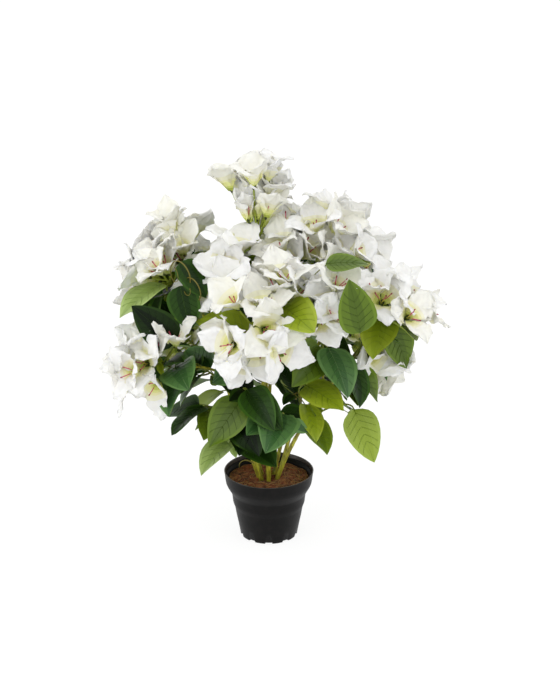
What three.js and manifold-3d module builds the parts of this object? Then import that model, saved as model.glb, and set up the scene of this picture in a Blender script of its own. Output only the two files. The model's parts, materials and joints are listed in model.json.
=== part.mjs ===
// An artificial bougainvillea bush with white bracts, standing in a black plastic nursery pot.
// Nine wired stems rise from the filled pot. Each ends in a spray of leaves and blossom, and boughs off
// the stems carry more sprays. Millimetres, +Z up, origin at the middle of the pot's flat underside, and
// the side that the bush shows best faces -Y.
import * as THREE from 'three';
import { mergeVertices } from 'three/addons/utils/BufferGeometryUtils.js';
import Module from 'manifold-3d';

const wasm = await Module();
wasm.setup();

// ---------------------------------------------------------------- driving dimensions
const CLEARANCE = 0.3; // between neighbouring pieces
const SIMPLIFY_TOLERANCE = 0.15; // slivers that the fusing leaves are taken out up to this

const POT = {
  height: 92,
  rimRadius: 60,
  collarRadius: 58.6, // where the upright collar starts to turn in
  collarDepth: 12,
  shoulderRadius: 57.6, // where the collar has turned in to the neck
  shoulderHeight: 75,
  neckRadius: 50, // under the collar
  neckHeight: 61,
  waistRadius: 48.4, // above the small step half way down
  waistHeight: 48,
  stepDepth: 7, // of the step under the waist
  stepRun: 2.4,
  footRadius: 38.2,
  wall: 1.6,
  ledgeRadius: 56.4, // stacking ledge inside the collar
  ledgeHeight: 84,
  ledgeRound: 0.6, // of the ledge's edge
  notchCount: 10,
  notchWidth: 9,
  notchHeight: 4.5,
  notchDepth: 3.4,
  segments: 30,
};
const FILL_LEVEL = 79.5;
const FILL_CROWN = 1.5; // how far the fill's middle stands above its edge

const STEM_CUT_HEIGHT = FILL_LEVEL + FILL_CROWN + CLEARANCE; // of the flat cut under each stem
const STEM_RING_RADIUS = 12;
const STEM_FOOT_RADIUS = 2.8;
const STEM_TIP_RADIUS = 1.9;
const STEM_LEAN = 0.34; // outward run for each unit of rise at the foot
const STEM_SIDES = 6;
const STEM_STEPS = 7;
const BOUGH_SIDES = 5;
const BOUGH_STEPS = 4;
const TWIG_SIDES = 3;
const END_TWIG_STEPS = 3;
const SIDE_TWIG_STEPS = 4;
const TWIG_GAP = 1.2 * CLEARANCE; // between the end of a stem or bough and the twig that carries on
const ROOM = 1.4 * CLEARANCE; // round a stem, which what grows off its side keeps clear of
const BOUGH_FOOT_RADIUS = 1.8;
const BOUGH_TIP_RADIUS = 1.4;
const TWIG_TIP_RADIUS = 1.1;
const SKIRT_HEIGHT = 152; // nothing hangs below this in the middle of the bush, and lower further out
const SKIRT_FALL = 0.35;

// A flower is a trumpet of three pointed bracts on a stalk. The widest place of a bract and the notch
// between two bracts are given as shares of the bract's length.
const BRACT = { length: 47, width: 36, opening: 36, widest: 0.56, notch: 0.34, cup: 2, floor: 3 };
const BRACTS_PER_FLOWER = 3;
const RIM_POINTS_PER_BRACT = 4; // a notch, an edge, the tip and the other edge
const PEDICEL_RADIUS = 0.9;
const PEDICEL_STEP = 3; // along the twig, from the root of one flower stalk to the next
const CALYX_RADIUS = 2.3;
const FLOWER_SPACING = 31; // between the mouths of two flowers of one spray, whose bracts may cross
const TRIES = 10; // places that a flower may try before it is left out
const STALK_TILT = [0.85, 1.15]; // shares of the tilt that the spread of a spray gives a flower stalk
const STALK_TURN = 60; // how much the golden angle from flower to flower varies, in degrees
const SEED_TURN = 40; // from the first flower of one seed to that of the next, in degrees
const STALK_TIERS = [0.75, 1.2]; // lengths of every other flower stalk, as shares of the spray's own
const STALK_LENGTHENING = 0.25; // added to that at most
const AXIS_TO_FACE = 0.25; // how far a flower leans from its stalk to the face of its spray
const AXIS_TO_SKY = 0.2;
const FLOWER_SIZE = [0.88, 1.12];
const LIGHT_HEIGHT = 22; // over a leaf that is set by hand, of the point that flowers leave open
const LIGHT_RADIUS = 25; // between that point and the mouth of any flower

const LEAF = { length: 68, width: 47, thickness: 1.3, cup: 0.14, bend: 0.2 };
// Half the blade's width as a share of its widest, at shares of its length from foot to tip.
const LEAF_OUTLINE = [[0, 0], [0.3, 1], [0.68, 0.74], [1, 0]];
const PETIOLE_LENGTH = 13;
const END_PETIOLE_LENGTH = 5; // of the leaf that ends a twig
const PETIOLE_RADIUS = 0.9;
const PETIOLE_RISE = 0.35; // how far a leaf's stalk points up from its blade
const FACE_TO_OUTSIDE = 0.9; // how far the face of a leaf turns from the sky to the outside of the bush
const GOLDEN_ANGLE = 137.5;
const FLOWER_SEED = 100; // added to a spray's seed for its flowers
const LEAF_SEED = 200; // and for its leaves
const COLLAR_LEAF_SIZE = [0.95, 1.1];
const COLLAR_ROLL = 0.4; // how much the face of a leaf that is set by hand rolls to either side
const LEAF_SIZE = [0.76, 1.14];
const LEAF_ROLL = 1.1;
const LEAF_SPLAY = 62; // between a leaf and its twig, in degrees
const LEAF_TURN = 40; // how much the golden angle from leaf to leaf varies, in degrees
const LEAF_TO_OUTSIDE = 0.45;
const LEAF_DROOP = [0.2, 0.9];
const PETIOLE_SIZE = [0.8, 1.3];
const LEAFY_STRETCH = [0.12, 0.88]; // of a twig, from where it starts to its hub
const LEAF_TRIES = 3; // places for each leaf that a twig may have

// Where a stem or bough ends and its spray begins, as a share of the whole curve.
const STEM_SPLIT = 0.7;
const BOUGH_SPLIT = 0.5;

// How a limb bends: the rise of its direction where it arrives, and the lengths over which it keeps the
// directions that it leaves and arrives along, as shares of the way from its start to its hub.
const ARRIVAL_RISE = 0.7;
const LEAVING_PULL = 0.42;
const ARRIVING_PULL = 0.25;

// A stem runs from its foot in the ring to the hub of its spray. ring is the foot's bearing in degrees,
// and null stands it in the middle. A bough leaves its parent stem at the share `at` of that stem's curve.
// hub is the point that the flower stalks spread from, towards face: a bearing and a height in degrees.
// open is the tilt that the flowers start at, in degrees, and spread the one that they reach.
// collar holds the leaves under the blossom that are set by hand: the share of the curve where each one
// leaves the twig, the bearing and height that its blade points to, and how far its face rolls from the
// light. leaves counts the other leaves.
const STEMS = [
  {
    name: 'front', ring: 270, hub: [-16, -112, 334], face: [262, 22], flowers: 10, open: 34, spread: 80,
    pedicel: 25, collar: [[0.88, 171, 17, -0.2], [0.76, 172, -34, 0]], leaves: 1, seed: 53,
  },
  {
    name: 'right', ring: 330, hub: [150, -20, 318], face: [355, 36], flowers: 8, open: 0, spread: 72,
    pedicel: 36, collar: [[0.99, 257, -16, -0.7], [0.99, 354, -63, -1.3], [0.89, 127, 64, 0.7]], leaves: 2,
    seed: 12,
  },
  {
    name: 'left', ring: 220, hub: [-128, -24, 366], face: [190, 16], flowers: 7, open: 0, spread: 66,
    pedicel: 29, collar: [[0.73, 186, 19, 0.5], [0.67, 144, 35, 0.6], [0.98, 222, -12, 0.2]], leaves: 2,
    seed: 13,
  },
  {
    name: 'upper_left', ring: 180, hub: [-108, 20, 384], face: [160, 60], flowers: 7, open: 0, spread: 64,
    pedicel: 27, collar: [], leaves: 3, seed: 14,
  },
  {
    name: 'upper_right', ring: 15, hub: [69, 20, 402], face: [15, 58], flowers: 7, open: 0, spread: 62,
    pedicel: 31, collar: [[0.9, 20, 0, 0]], leaves: 2, seed: 15,
  },
  {
    name: 'top', ring: null, hub: [-15, 10, 418], face: [100, 84], flowers: 7, open: 0, spread: 26,
    pedicel: 52, collar: [], leaves: 3, seed: 16,
  },
  {
    name: 'back_right', ring: 55, hub: [110, 92, 335], face: [40, 36], flowers: 6, open: 0, spread: 68,
    pedicel: 28, collar: [], leaves: 4, seed: 17,
  },
  {
    name: 'back', ring: 95, hub: [18, 112, 365], face: [82, 48], flowers: 6, open: 0, spread: 68,
    pedicel: 28, collar: [], leaves: 4, seed: 18,
  },
  {
    name: 'back_left', ring: 140, hub: [-96, 98, 320], face: [135, 32], flowers: 6, open: 0, spread: 68,
    pedicel: 28, collar: [], leaves: 4, seed: 19,
  },
];
const BOUGHS = [
  {
    name: 'front_high', parent: 'front', at: 0.42, hub: [16, -84, 352], face: [285, 66], flowers: 7, open: 0,
    spread: 64, pedicel: 27, collar: [[0.99, 292, -1, -0.7]], leaves: 1, seed: 21,
  },
  {
    name: 'lower_left', parent: 'left', at: 0.45, hub: [-140, -72, 274], face: [205, 20], flowers: 8,
    open: 0, spread: 74, pedicel: 27, collar: [[0.69, 281, 6, 0.5]], leaves: 3, seed: 22,
  },
  {
    name: 'right_centre', parent: 'right', at: 0.4, hub: [64, -72, 344], face: [272, 46], flowers: 6,
    open: 0, spread: 60, pedicel: 24, collar: [[0.7, 217, -9, 0]], leaves: 2, seed: 23,
  },
  {
    name: 'centre_left', parent: 'upper_left', at: 0.42, hub: [-46, -20, 364], face: [250, 62], flowers: 6,
    open: 0, spread: 64, pedicel: 26, collar: [[0.83, 167, 34, -0.3]], leaves: 2, seed: 24,
  },
  {
    name: 'centre_right', parent: 'top', at: 0.45, hub: [34, -4, 390], face: [300, 62], flowers: 6, open: 0,
    spread: 62, pedicel: 26, collar: [], leaves: 2, seed: 25,
  },
  {
    name: 'lower_right', parent: 'right', at: 0.5, hub: [130, 20, 258], face: [340, -8], flowers: 5, open: 0,
    spread: 60, pedicel: 24, collar: [], leaves: 3, seed: 26,
  },
  {
    name: 'back_low_right', parent: 'back_right', at: 0.4, hub: [104, 98, 258], face: [38, 12], flowers: 5,
    open: 0, spread: 66, pedicel: 26, collar: [], leaves: 4, seed: 27,
  },
  {
    name: 'back_low', parent: 'back', at: 0.4, hub: [10, 138, 280], face: [86, 16], flowers: 5, open: 0,
    spread: 66, pedicel: 26, collar: [], leaves: 4, seed: 28,
  },
  {
    name: 'back_low_left', parent: 'back_left', at: 0.4, hub: [-112, 96, 246], face: [145, 12], flowers: 5,
    open: 0, spread: 66, pedicel: 26, collar: [], leaves: 4, seed: 29,
  },
];

// Leafy side twigs without blossom, each off a stem at a share of its curve. The blade at the end of each
// one points along its face, and roll turns it round that direction.
const SIDE_TWIG_TABLE = [
  ['hanging_right', 'right', 0.3, [109, -30, 196], [313, -57], -1.3, 0],
  ['pot_left', 'left', 0.2, [-42, -62, 166], [235, -10], 0, 1],
  ['front_round', 'front', 0.3, [19, -92, 212], [256, -8], 0, 2],
  ['front_left', 'front', 0.24, [-38, -74, 212], [286, -22], 0, 2],
  ['front_right', 'right', 0.26, [44, -70, 241], [314, -5], 0, 4],
  ['right_dark', 'right', 0.44, [102, -44, 266], [292, -33], 0, 3],
  ['left_low', 'left', 0.3, [-81, -40, 200], [230, -6], 0, 2],
  ['front_bright', 'front', 0.42, [-29, -98, 248], [303, -25], 0, 3],
  ['left_middle', 'upper_left', 0.34, [-92, -8, 246], [200, 5], 0, 3],
  ['right_back', 'upper_right', 0.32, [76, 44, 232], [20, 0], 0, 3],
  ['back_right_low', 'back_right', 0.24, [58, 76, 190], [50, -15], 0, 3],
  ['back_middle', 'back', 0.28, [2, 90, 214], [95, -10], 0, 4],
  ['back_left_low', 'back_left', 0.24, [-66, 62, 196], [140, -15], 0, 3],
  ['middle', 'top', 0.4, [4, 30, 282], [60, 30], 0, 4],
];
const SIDE_TWIG_SEED = 31;
const SIDE_TWIGS = SIDE_TWIG_TABLE.map(([name, parent, at, hub, face, roll, leaves], i) => (
  { name, parent, at, hub, face, flowers: 0, collar: [[1, ...face, roll]], leaves, seed: SIDE_TWIG_SEED + i }
));

// ---------------------------------------------------------------- helpers
const UP = new THREE.Vector3(0, 0, 1);

// Numbers from 0 to 1 that depend only on the seed and on how many were drawn before.
function seededRandom(seed) {
  let state = (seed * 2654435761) % 4294967296;
  return () => {
    state = (state * 1664525 + 1013904223) % 4294967296;
    return state / 4294967296;
  };
}

function between([low, high], random) {
  return low + (high - low) * random();
}

// The unit vector of a bearing, counted from +X towards +Y, and a height above the horizon.
function towards([bearing, height]) {
  const b = THREE.MathUtils.degToRad(bearing);
  const h = THREE.MathUtils.degToRad(height);
  return new THREE.Vector3(Math.cos(b) * Math.cos(h), Math.sin(b) * Math.cos(h), Math.sin(h));
}

// Two unit vectors square to a direction and to each other.
function crossAxes(direction) {
  const helper = Math.abs(direction.z) < 0.9 ? UP : new THREE.Vector3(1, 0, 0);
  const side = new THREE.Vector3().crossVectors(helper, direction).normalize();
  return [side, new THREE.Vector3().crossVectors(direction, side)];
}

// The direction that leaves an axis at an angle, turned round it by a bearing, both in degrees.
function splay(axis, angle, bearing) {
  const [side, other] = crossAxes(axis);
  const a = THREE.MathUtils.degToRad(angle);
  const b = THREE.MathUtils.degToRad(bearing);
  return side.multiplyScalar(Math.cos(b) * Math.sin(a))
    .addScaledVector(other, Math.sin(b) * Math.sin(a))
    .addScaledVector(axis, Math.cos(a));
}

// The horizontal direction from the middle of the bush to a point.
function outwardAt(point) {
  return new THREE.Vector3(point.x, point.y, 0).normalize();
}

// Joins the vertices that share a place and drops the faces that this leaves without an area.
function toSolid(geometry) {
  const bare = geometry.clone();
  bare.deleteAttribute('normal');
  bare.deleteAttribute('uv');
  const merged = mergeVertices(bare, 1e-4);
  const corners = Array.from(merged.index.array);
  const faces = [];
  for (let i = 0; i < corners.length; i += 3) {
    const [a, b, c] = corners.slice(i, i + 3);
    if (a !== b && b !== c && c !== a) faces.push(a, b, c);
  }
  return new wasm.Manifold(new wasm.Mesh({
    numProp: 3,
    vertProperties: merged.attributes.position.array,
    triVerts: new Uint32Array(faces),
  }));
}

function toGeometry(solid) {
  const mesh = solid.getMesh();
  const geometry = new THREE.BufferGeometry();
  geometry.setAttribute('position', new THREE.BufferAttribute(mesh.vertProperties, 3));
  geometry.setIndex(new THREE.BufferAttribute(mesh.triVerts, 1));
  geometry.computeVertexNormals();
  return geometry;
}

// The largest piece of a joined solid, with any sealed hollow filled and loose scraps dropped.
function largestPiece(solid) {
  const pieces = solid.decompose().filter((piece) => piece.volume() > 0);
  return pieces.reduce((best, piece) => (piece.volume() > best.volume() ? piece : best));
}

// ---------------------------------------------------------------- limbs
// A tapering round limb that follows a curve from one share of its length to another, with flat ends.
function limbGeometry(curve, from, to, radiusFrom, radiusTo, sides, steps) {
  const geometry = new THREE.CylinderGeometry(1, 1, 1, sides, steps);
  const position = geometry.attributes.position;
  const [level] = crossAxes(curve.getPoint(1).sub(curve.getPoint(0)).normalize());
  for (let i = 0; i < position.count; i++) {
    const along = position.getY(i) + 0.5;
    const share = from + (to - from) * along;
    const radius = radiusFrom + (radiusTo - radiusFrom) * along;
    const tangent = curve.getTangent(share);
    const other = new THREE.Vector3().crossVectors(tangent, level).normalize();
    const side = new THREE.Vector3().crossVectors(other, tangent);
    const point = curve.getPoint(share)
      .addScaledVector(side, position.getX(i) * radius)
      .addScaledVector(other, -position.getZ(i) * radius);
    position.setXYZ(i, point.x, point.y, point.z);
  }
  return geometry;
}

// A length along a curve as a share of the whole.
function shareOf(curve, length) {
  return length / curve.getLength();
}

// The curve of a limb that starts along one direction and reaches its hub along another.
function reachingCurve(start, startDirection, hub, face) {
  const reach = start.distanceTo(hub);
  const arrival = face.clone().addScaledVector(UP, ARRIVAL_RISE).normalize();
  return new THREE.CubicBezierCurve3(
    start,
    start.clone().addScaledVector(startDirection, reach * LEAVING_PULL),
    hub.clone().addScaledVector(arrival, -reach * ARRIVING_PULL),
    hub,
  );
}

function stemCurve(stem) {
  const hub = new THREE.Vector3(...stem.hub);
  const outward = stem.ring === null ? new THREE.Vector3() : towards([stem.ring, 0]);
  const foot = outward.clone().multiplyScalar(STEM_RING_RADIUS);
  foot.z = STEM_CUT_HEIGHT - STEM_FOOT_RADIUS;
  const rise = outward.multiplyScalar(STEM_LEAN).add(UP).normalize();
  return reachingCurve(foot, rise, hub, towards(stem.face));
}

function branchCurve(branch, parentCurve) {
  const start = parentCurve.getPoint(branch.at);
  const hub = new THREE.Vector3(...branch.hub);
  const aim = hub.clone().sub(start).normalize();
  const leaving = parentCurve.getTangent(branch.at).add(aim).normalize();
  return reachingCurve(start, leaving, hub, towards(branch.face));
}

// ---------------------------------------------------------------- leaves and flowers
// A leaf as one closed loft of four-cornered sections: a thin stalk from root to foot, and then an ovate
// blade along a direction, with a ridge on both faces, its edges raised by cup and its tip bent down.
function leafSolid(root, foot, along, upper, length) {
  const halfWidth = (LEAF.width * length) / LEAF.length / 2;
  const across = new THREE.Vector3().crossVectors(upper, along);
  const geometry = new THREE.CylinderGeometry(1, 1, 1, 4, LEAF_OUTLINE.length);
  const position = geometry.attributes.position;
  for (let i = 0; i < position.count; i++) {
    const section = Math.round((position.getY(i) + 0.5) * LEAF_OUTLINE.length);
    const [share, breadth] = LEAF_OUTLINE[Math.max(section - 1, 0)];
    const isStalk = share === 0;
    const middle = section === 0 ? root : foot;
    const side = position.getZ(i) * (isStalk ? PETIOLE_RADIUS : breadth * halfWidth);
    const face = position.getX(i) * (isStalk ? PETIOLE_RADIUS : (share < 1 ? LEAF.thickness / 2 : 0));
    const lift = face + LEAF.cup * Math.abs(side) - LEAF.bend * length * share ** 2;
    const point = middle.clone().addScaledVector(along, share * length)
      .addScaledVector(across, side)
      .addScaledVector(upper, lift);
    position.setXYZ(i, point.x, point.y, point.z);
  }
  return toSolid(geometry);
}

// The rim of a flower round its axis: radius, height and turn of one of the points of its waist.
function rimPoint(index, length) {
  const opening = THREE.MathUtils.degToRad(BRACT.opening);
  const lobeTurn = (2 * Math.PI) / BRACTS_PER_FLOWER;
  const lobe = Math.floor(index / RIM_POINTS_PER_BRACT);
  const role = index % RIM_POINTS_PER_BRACT;
  const middle = lobeTurn * (lobe + 0.5);
  if (role === 0) {
    const notch = BRACT.notch * length;
    return [notch * Math.sin(opening), notch * Math.cos(opening), lobeTurn * lobe];
  }
  if (role === 2) return [length * Math.sin(opening), length * Math.cos(opening), middle];
  const reach = BRACT.widest * length;
  const halfWidth = (BRACT.width * length) / BRACT.length / 2;
  const out = reach * Math.sin(opening);
  const turn = Math.atan2(halfWidth, out) * (role === 1 ? -1 : 1);
  return [Math.hypot(out, halfWidth), reach * Math.cos(opening) + BRACT.cup, middle + turn];
}

// A flower as one closed skin: from the middle of its floor out to the rim of its three bracts, back to
// the calyx at its head, and down the three-sided stalk to its root.
function flowerSolid(root, head, axis, spin, length) {
  const points = BRACTS_PER_FLOWER * RIM_POINTS_PER_BRACT;
  const geometry = new THREE.SphereGeometry(1, points, 4);
  const position = geometry.attributes.position;
  const [side, other] = crossAxes(axis);
  for (let i = 0; i < position.count; i++) {
    const ring = Math.round((Math.acos(position.getY(i)) / Math.PI) * 4);
    const bearing = Math.atan2(-position.getZ(i), position.getX(i)) + 2 * Math.PI;
    const index = Math.round((bearing / (2 * Math.PI)) * points) % points;
    const lobeMiddle = ((Math.floor(index / RIM_POINTS_PER_BRACT) + 0.5) * 2 * Math.PI) / BRACTS_PER_FLOWER;
    const [radius, height, turn] = [
      [0, BRACT.floor, 0],
      rimPoint(index, length),
      [CALYX_RADIUS, 0, lobeMiddle],
      [PEDICEL_RADIUS, 0, lobeMiddle],
      [0, 0, 0],
    ][ring];
    const point = (ring < 3 ? head : root).clone().addScaledVector(axis, height)
      .addScaledVector(side, Math.cos(turn + spin) * radius)
      .addScaledVector(other, Math.sin(turn + spin) * radius);
    position.setXYZ(i, point.x, point.y, point.z);
  }
  return toSolid(geometry);
}

// One flower of a spray. Its stalk leaves the twig near the hub, and every other one is longer.
function growFlower({ spray, curve }, index, random) {
  const root = curve.getPoint(1 - shareOf(curve, PEDICEL_STEP * index));
  const face = towards(spray.face);
  const reached = Math.sqrt((index + 0.5) / spray.flowers);
  const tilt = (spray.open + (spray.spread - spray.open) * reached) * between(STALK_TILT, random);
  const turn = index * GOLDEN_ANGLE + spray.seed * SEED_TURN + STALK_TURN * random();
  const stalk = splay(face, tilt, turn);
  const tier = STALK_TIERS[index % 2] + STALK_LENGTHENING * random();
  const head = root.clone().addScaledVector(stalk, spray.pedicel * tier);
  const axis = stalk.clone().addScaledVector(face, AXIS_TO_FACE).addScaledVector(UP, AXIS_TO_SKY).normalize();
  const length = BRACT.length * between(FLOWER_SIZE, random);
  const spin = 2 * Math.PI * random();
  const neck = head.clone().addScaledVector(stalk, -BRACT.floor);
  return {
    whole: flowerSolid(root, head, axis, spin, length),
    blade: flowerSolid(neck, head, axis, spin, length),
    mouth: head.clone().addScaledVector(axis, BRACT.widest * length),
  };
}

// One leaf: a stalk from the twig, and a blade that points along a direction with its face to the light.
function growLeaf(root, along, petioleLength, length, roll) {
  const outward = outwardAt(root);
  const stalk = along.clone().addScaledVector(UP, PETIOLE_RISE).normalize();
  const foot = root.clone().addScaledVector(stalk, petioleLength);
  const [level] = crossAxes(along);
  const upper = UP.clone().addScaledVector(outward, FACE_TO_OUTSIDE).addScaledVector(level, roll);
  upper.addScaledVector(along, -upper.dot(along)).normalize();
  const neck = foot.clone().addScaledVector(stalk, -PETIOLE_RADIUS);
  return {
    whole: leafSolid(root, foot, along, upper, length),
    blade: leafSolid(neck, foot, along, upper, length),
    light: foot.clone().addScaledVector(along, length / 2).addScaledVector(upper, LIGHT_HEIGHT),
  };
}

// ---------------------------------------------------------------- sprays
// Everything that a new leaf or flower has to stay clear of. Within one spray only the blades count, and
// the bracts of its flowers may cross each other at the edges. Flowers stay out of the light of the leaves
// that are set by hand.
const obstacles = [];
const lights = [];

function keepClearOf(owner, piece) {
  obstacles.push({ owner, ...piece, box: piece.whole.boundingBox() });
}

function boxesMeet(a, b) {
  return a.min.every((low, i) => low - CLEARANCE <= b.max[i] && b.min[i] - CLEARANCE <= a.max[i]);
}

function isClear(owner, { whole, blade, mouth }) {
  if (mouth && lights.some((light) => mouth.distanceTo(light) < LIGHT_RADIUS)) return false;
  const box = whole.boundingBox();
  return obstacles.every((other) => {
    if (!boxesMeet(box, other.box)) return true;
    if (other.owner !== owner) return whole.minGap(other.whole, 2 * CLEARANCE) >= CLEARANCE;
    if (mouth && other.mouth) return mouth.distanceTo(other.mouth) >= FLOWER_SPACING;
    return blade.minGap(other.blade, 2 * CLEARANCE) >= CLEARANCE;
  });
}

// Whether the lowest point of a leaf or flower is under the skirt of the crown.
function hangsTooLow(solid) {
  const { min, max } = solid.boundingBox();
  const distance = Math.hypot((min[0] + max[0]) / 2, (min[1] + max[1]) / 2);
  return min[2] < SKIRT_HEIGHT - SKIRT_FALL * distance;
}

// Fuses a leaf or flower to its twig, unless it would touch something or hang below the crown.
function attach(twig, piece) {
  if (hangsTooLow(piece.whole) || !isClear(twig.spray.name, piece)) return false;
  keepClearOf(twig.spray.name, piece);
  twig.parts.push(piece.whole);
  return true;
}

// The leaves that are set by hand, with the one that ends a twig without blossom.
function growCollar(twig) {
  const random = seededRandom(twig.spray.seed);
  for (const [share, bearing, height, roll] of twig.spray.collar) {
    const petiole = share < 1 ? PETIOLE_LENGTH : END_PETIOLE_LENGTH;
    const length = LEAF.length * between(COLLAR_LEAF_SIZE, random);
    const ownRoll = roll + COLLAR_ROLL * (random() - 0.5);
    const leaf = growLeaf(twig.curve.getPoint(share), towards([bearing, height]), petiole, length, ownRoll);
    if (attach(twig, leaf)) lights.push(leaf.light);
  }
}

function growBlossom(twig) {
  const random = seededRandom(twig.spray.seed + FLOWER_SEED);
  for (let i = 0; i < twig.spray.flowers; i++) {
    for (let tries = 0; tries < TRIES; tries++) {
      if (attach(twig, growFlower(twig, i, random))) break;
    }
  }
}

// The other leaves, which turn round the twig by the golden angle.
function growLeaves(twig) {
  const { spray, curve, from } = twig;
  const random = seededRandom(spray.seed + LEAF_SEED);
  const [low, high] = LEAFY_STRETCH;
  for (let i = 0, grown = 0; i < spray.leaves * LEAF_TRIES && grown < spray.leaves; i++) {
    const place = low + ((high - low) * ((i % spray.leaves) + random())) / spray.leaves;
    const share = from + (1 - from) * place;
    const root = curve.getPoint(share);
    const along = splay(curve.getTangent(share), LEAF_SPLAY, i * GOLDEN_ANGLE + LEAF_TURN * random())
      .addScaledVector(outwardAt(root), LEAF_TO_OUTSIDE)
      .addScaledVector(UP, -between(LEAF_DROOP, random))
      .normalize();
    const petiole = PETIOLE_LENGTH * between(PETIOLE_SIZE, random);
    const length = LEAF.length * between(LEAF_SIZE, random);
    if (attach(twig, growLeaf(root, along, petiole, length, LEAF_ROLL * (random() - 0.5)))) grown++;
  }
}

// ---------------------------------------------------------------- pot and fill
// The pot's inside radius at a height, on the wall under the collar.
function potInnerRadius(height) {
  const share = height / POT.waistHeight;
  const outer = POT.footRadius + (POT.waistRadius - POT.footRadius) * Math.min(1, share);
  return outer - POT.wall;
}

function potSolid() {
  const outline = [
    [0, 0],
    [POT.footRadius, 0],
    [POT.waistRadius - POT.stepRun, POT.waistHeight - POT.stepDepth],
    [POT.waistRadius, POT.waistHeight],
    [POT.neckRadius, POT.neckHeight],
    [POT.shoulderRadius, POT.shoulderHeight],
    [POT.collarRadius, POT.height - POT.collarDepth],
    [POT.rimRadius, POT.height],
    [POT.rimRadius - POT.wall, POT.height],
    [POT.ledgeRadius + POT.ledgeRound, POT.ledgeHeight],
    [POT.ledgeRadius - POT.ledgeRound, POT.ledgeHeight - POT.ledgeRound],
    [POT.neckRadius - POT.wall, POT.neckHeight],
    [potInnerRadius(POT.waistHeight), POT.waistHeight],
    [potInnerRadius(POT.wall), POT.wall],
    [0, POT.wall],
  ];
  const points = outline.map(([radius, height]) => new THREE.Vector2(radius, height));
  const lathe = new THREE.LatheGeometry(points, POT.segments);
  let pot = toSolid(lathe.rotateX(Math.PI / 2));
  for (let i = 0; i < POT.notchCount; i++) {
    const notch = new THREE.BoxGeometry(POT.notchDepth, POT.notchWidth, POT.notchHeight * 2);
    notch.translate(POT.footRadius, 0, 0);
    notch.rotateZ(((i + 0.5) * 2 * Math.PI) / POT.notchCount);
    pot = pot.subtract(toSolid(notch));
  }
  return pot;
}

function fillSolid() {
  const gap = 2 * CLEARANCE;
  const rise = (FILL_LEVEL - POT.neckHeight) / (POT.ledgeHeight - POT.neckHeight);
  const edge = POT.neckRadius + (POT.ledgeRadius - POT.neckRadius) * rise;
  const outline = [
    [0, POT.wall + CLEARANCE],
    [potInnerRadius(POT.wall) - gap, POT.wall + CLEARANCE],
    [potInnerRadius(POT.waistHeight) - gap, POT.waistHeight],
    [POT.neckRadius - POT.wall - gap, POT.neckHeight],
    [edge - POT.wall - gap, FILL_LEVEL],
    [STEM_RING_RADIUS + 2 * STEM_FOOT_RADIUS, FILL_LEVEL + FILL_CROWN],
    [0, FILL_LEVEL + FILL_CROWN],
  ];
  const points = outline.map(([radius, height]) => new THREE.Vector2(radius, height));
  return toSolid(new THREE.LatheGeometry(points, POT.segments).rotateX(Math.PI / 2));
}

// ---------------------------------------------------------------- materials
function plastic(color, roughness) {
  return new THREE.MeshStandardMaterial({ color, roughness, metalness: 0 });
}
const MATERIALS = {
  pot: plastic(0x2b2a29, 0.5),
  fill: plastic(0x5a3826, 0.95),
  stem: plastic(0x8f9a1e, 0.5),
  foliage: plastic(0x4c7a1e, 0.45),
  blossom: plastic(0xf4f3ee, 0.7),
};

// ---------------------------------------------------------------- assembly
const bush = new THREE.Group();

function addNode(name, geometry, material) {
  const mesh = new THREE.Mesh(geometry, material);
  mesh.name = name;
  bush.add(mesh);
}

const pot = potSolid();
const fill = fillSolid();
keepClearOf('pot', { whole: pot });
keepClearOf('fill', { whole: fill });
addNode('pot', toGeometry(pot), MATERIALS.pot);
addNode('fill', toGeometry(fill), MATERIALS.fill);

// The stems, boughs and twigs come first, so that leaves and flowers can keep clear of all wood.
const curves = new Map();
const twigs = [];

function addTwig(spray, curve, from, wood) {
  keepClearOf(spray.name, { whole: wood, blade: wood });
  twigs.push({ spray, curve, from, parts: [wood] });
}

function addLimb(name, solid) {
  keepClearOf(name, { whole: solid });
  addNode(name, toGeometry(solid), MATERIALS.stem);
}

// The twig that carries on from the end of a stem or bough, with a gap between the two.
function endTwig(curve, split, radius) {
  const from = split + shareOf(curve, TWIG_GAP);
  return toSolid(limbGeometry(curve, from, 1, radius, TWIG_TIP_RADIUS, TWIG_SIDES, END_TWIG_STEPS));
}

// The space that a stem takes from what grows off its side.
function roomAround(stemName) {
  return toSolid(limbGeometry(curves.get(stemName), 0, STEM_SPLIT,
    STEM_FOOT_RADIUS + ROOM, STEM_TIP_RADIUS + ROOM, STEM_SIDES, STEM_STEPS));
}

const underground = new THREE.CylinderGeometry(POT.rimRadius, POT.rimRadius, STEM_CUT_HEIGHT, POT.segments)
  .rotateX(Math.PI / 2)
  .translate(0, 0, STEM_CUT_HEIGHT / 2);
for (const stem of STEMS) {
  const curve = stemCurve(stem);
  curves.set(stem.name, curve);
  const whole = toSolid(limbGeometry(curve, 0, STEM_SPLIT,
    STEM_FOOT_RADIUS, STEM_TIP_RADIUS, STEM_SIDES, STEM_STEPS));
  addLimb('stem_' + stem.name, whole.subtract(toSolid(underground)));
  addTwig(stem, curve, STEM_SPLIT, endTwig(curve, STEM_SPLIT, STEM_TIP_RADIUS));
}
for (const bough of BOUGHS) {
  const curve = branchCurve(bough, curves.get(bough.parent));
  const whole = toSolid(limbGeometry(curve, 0, BOUGH_SPLIT,
    BOUGH_FOOT_RADIUS, BOUGH_TIP_RADIUS, BOUGH_SIDES, BOUGH_STEPS));
  addLimb('bough_' + bough.name, largestPiece(whole.subtract(roomAround(bough.parent))));
  addTwig(bough, curve, BOUGH_SPLIT, endTwig(curve, BOUGH_SPLIT, BOUGH_TIP_RADIUS));
}
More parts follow.
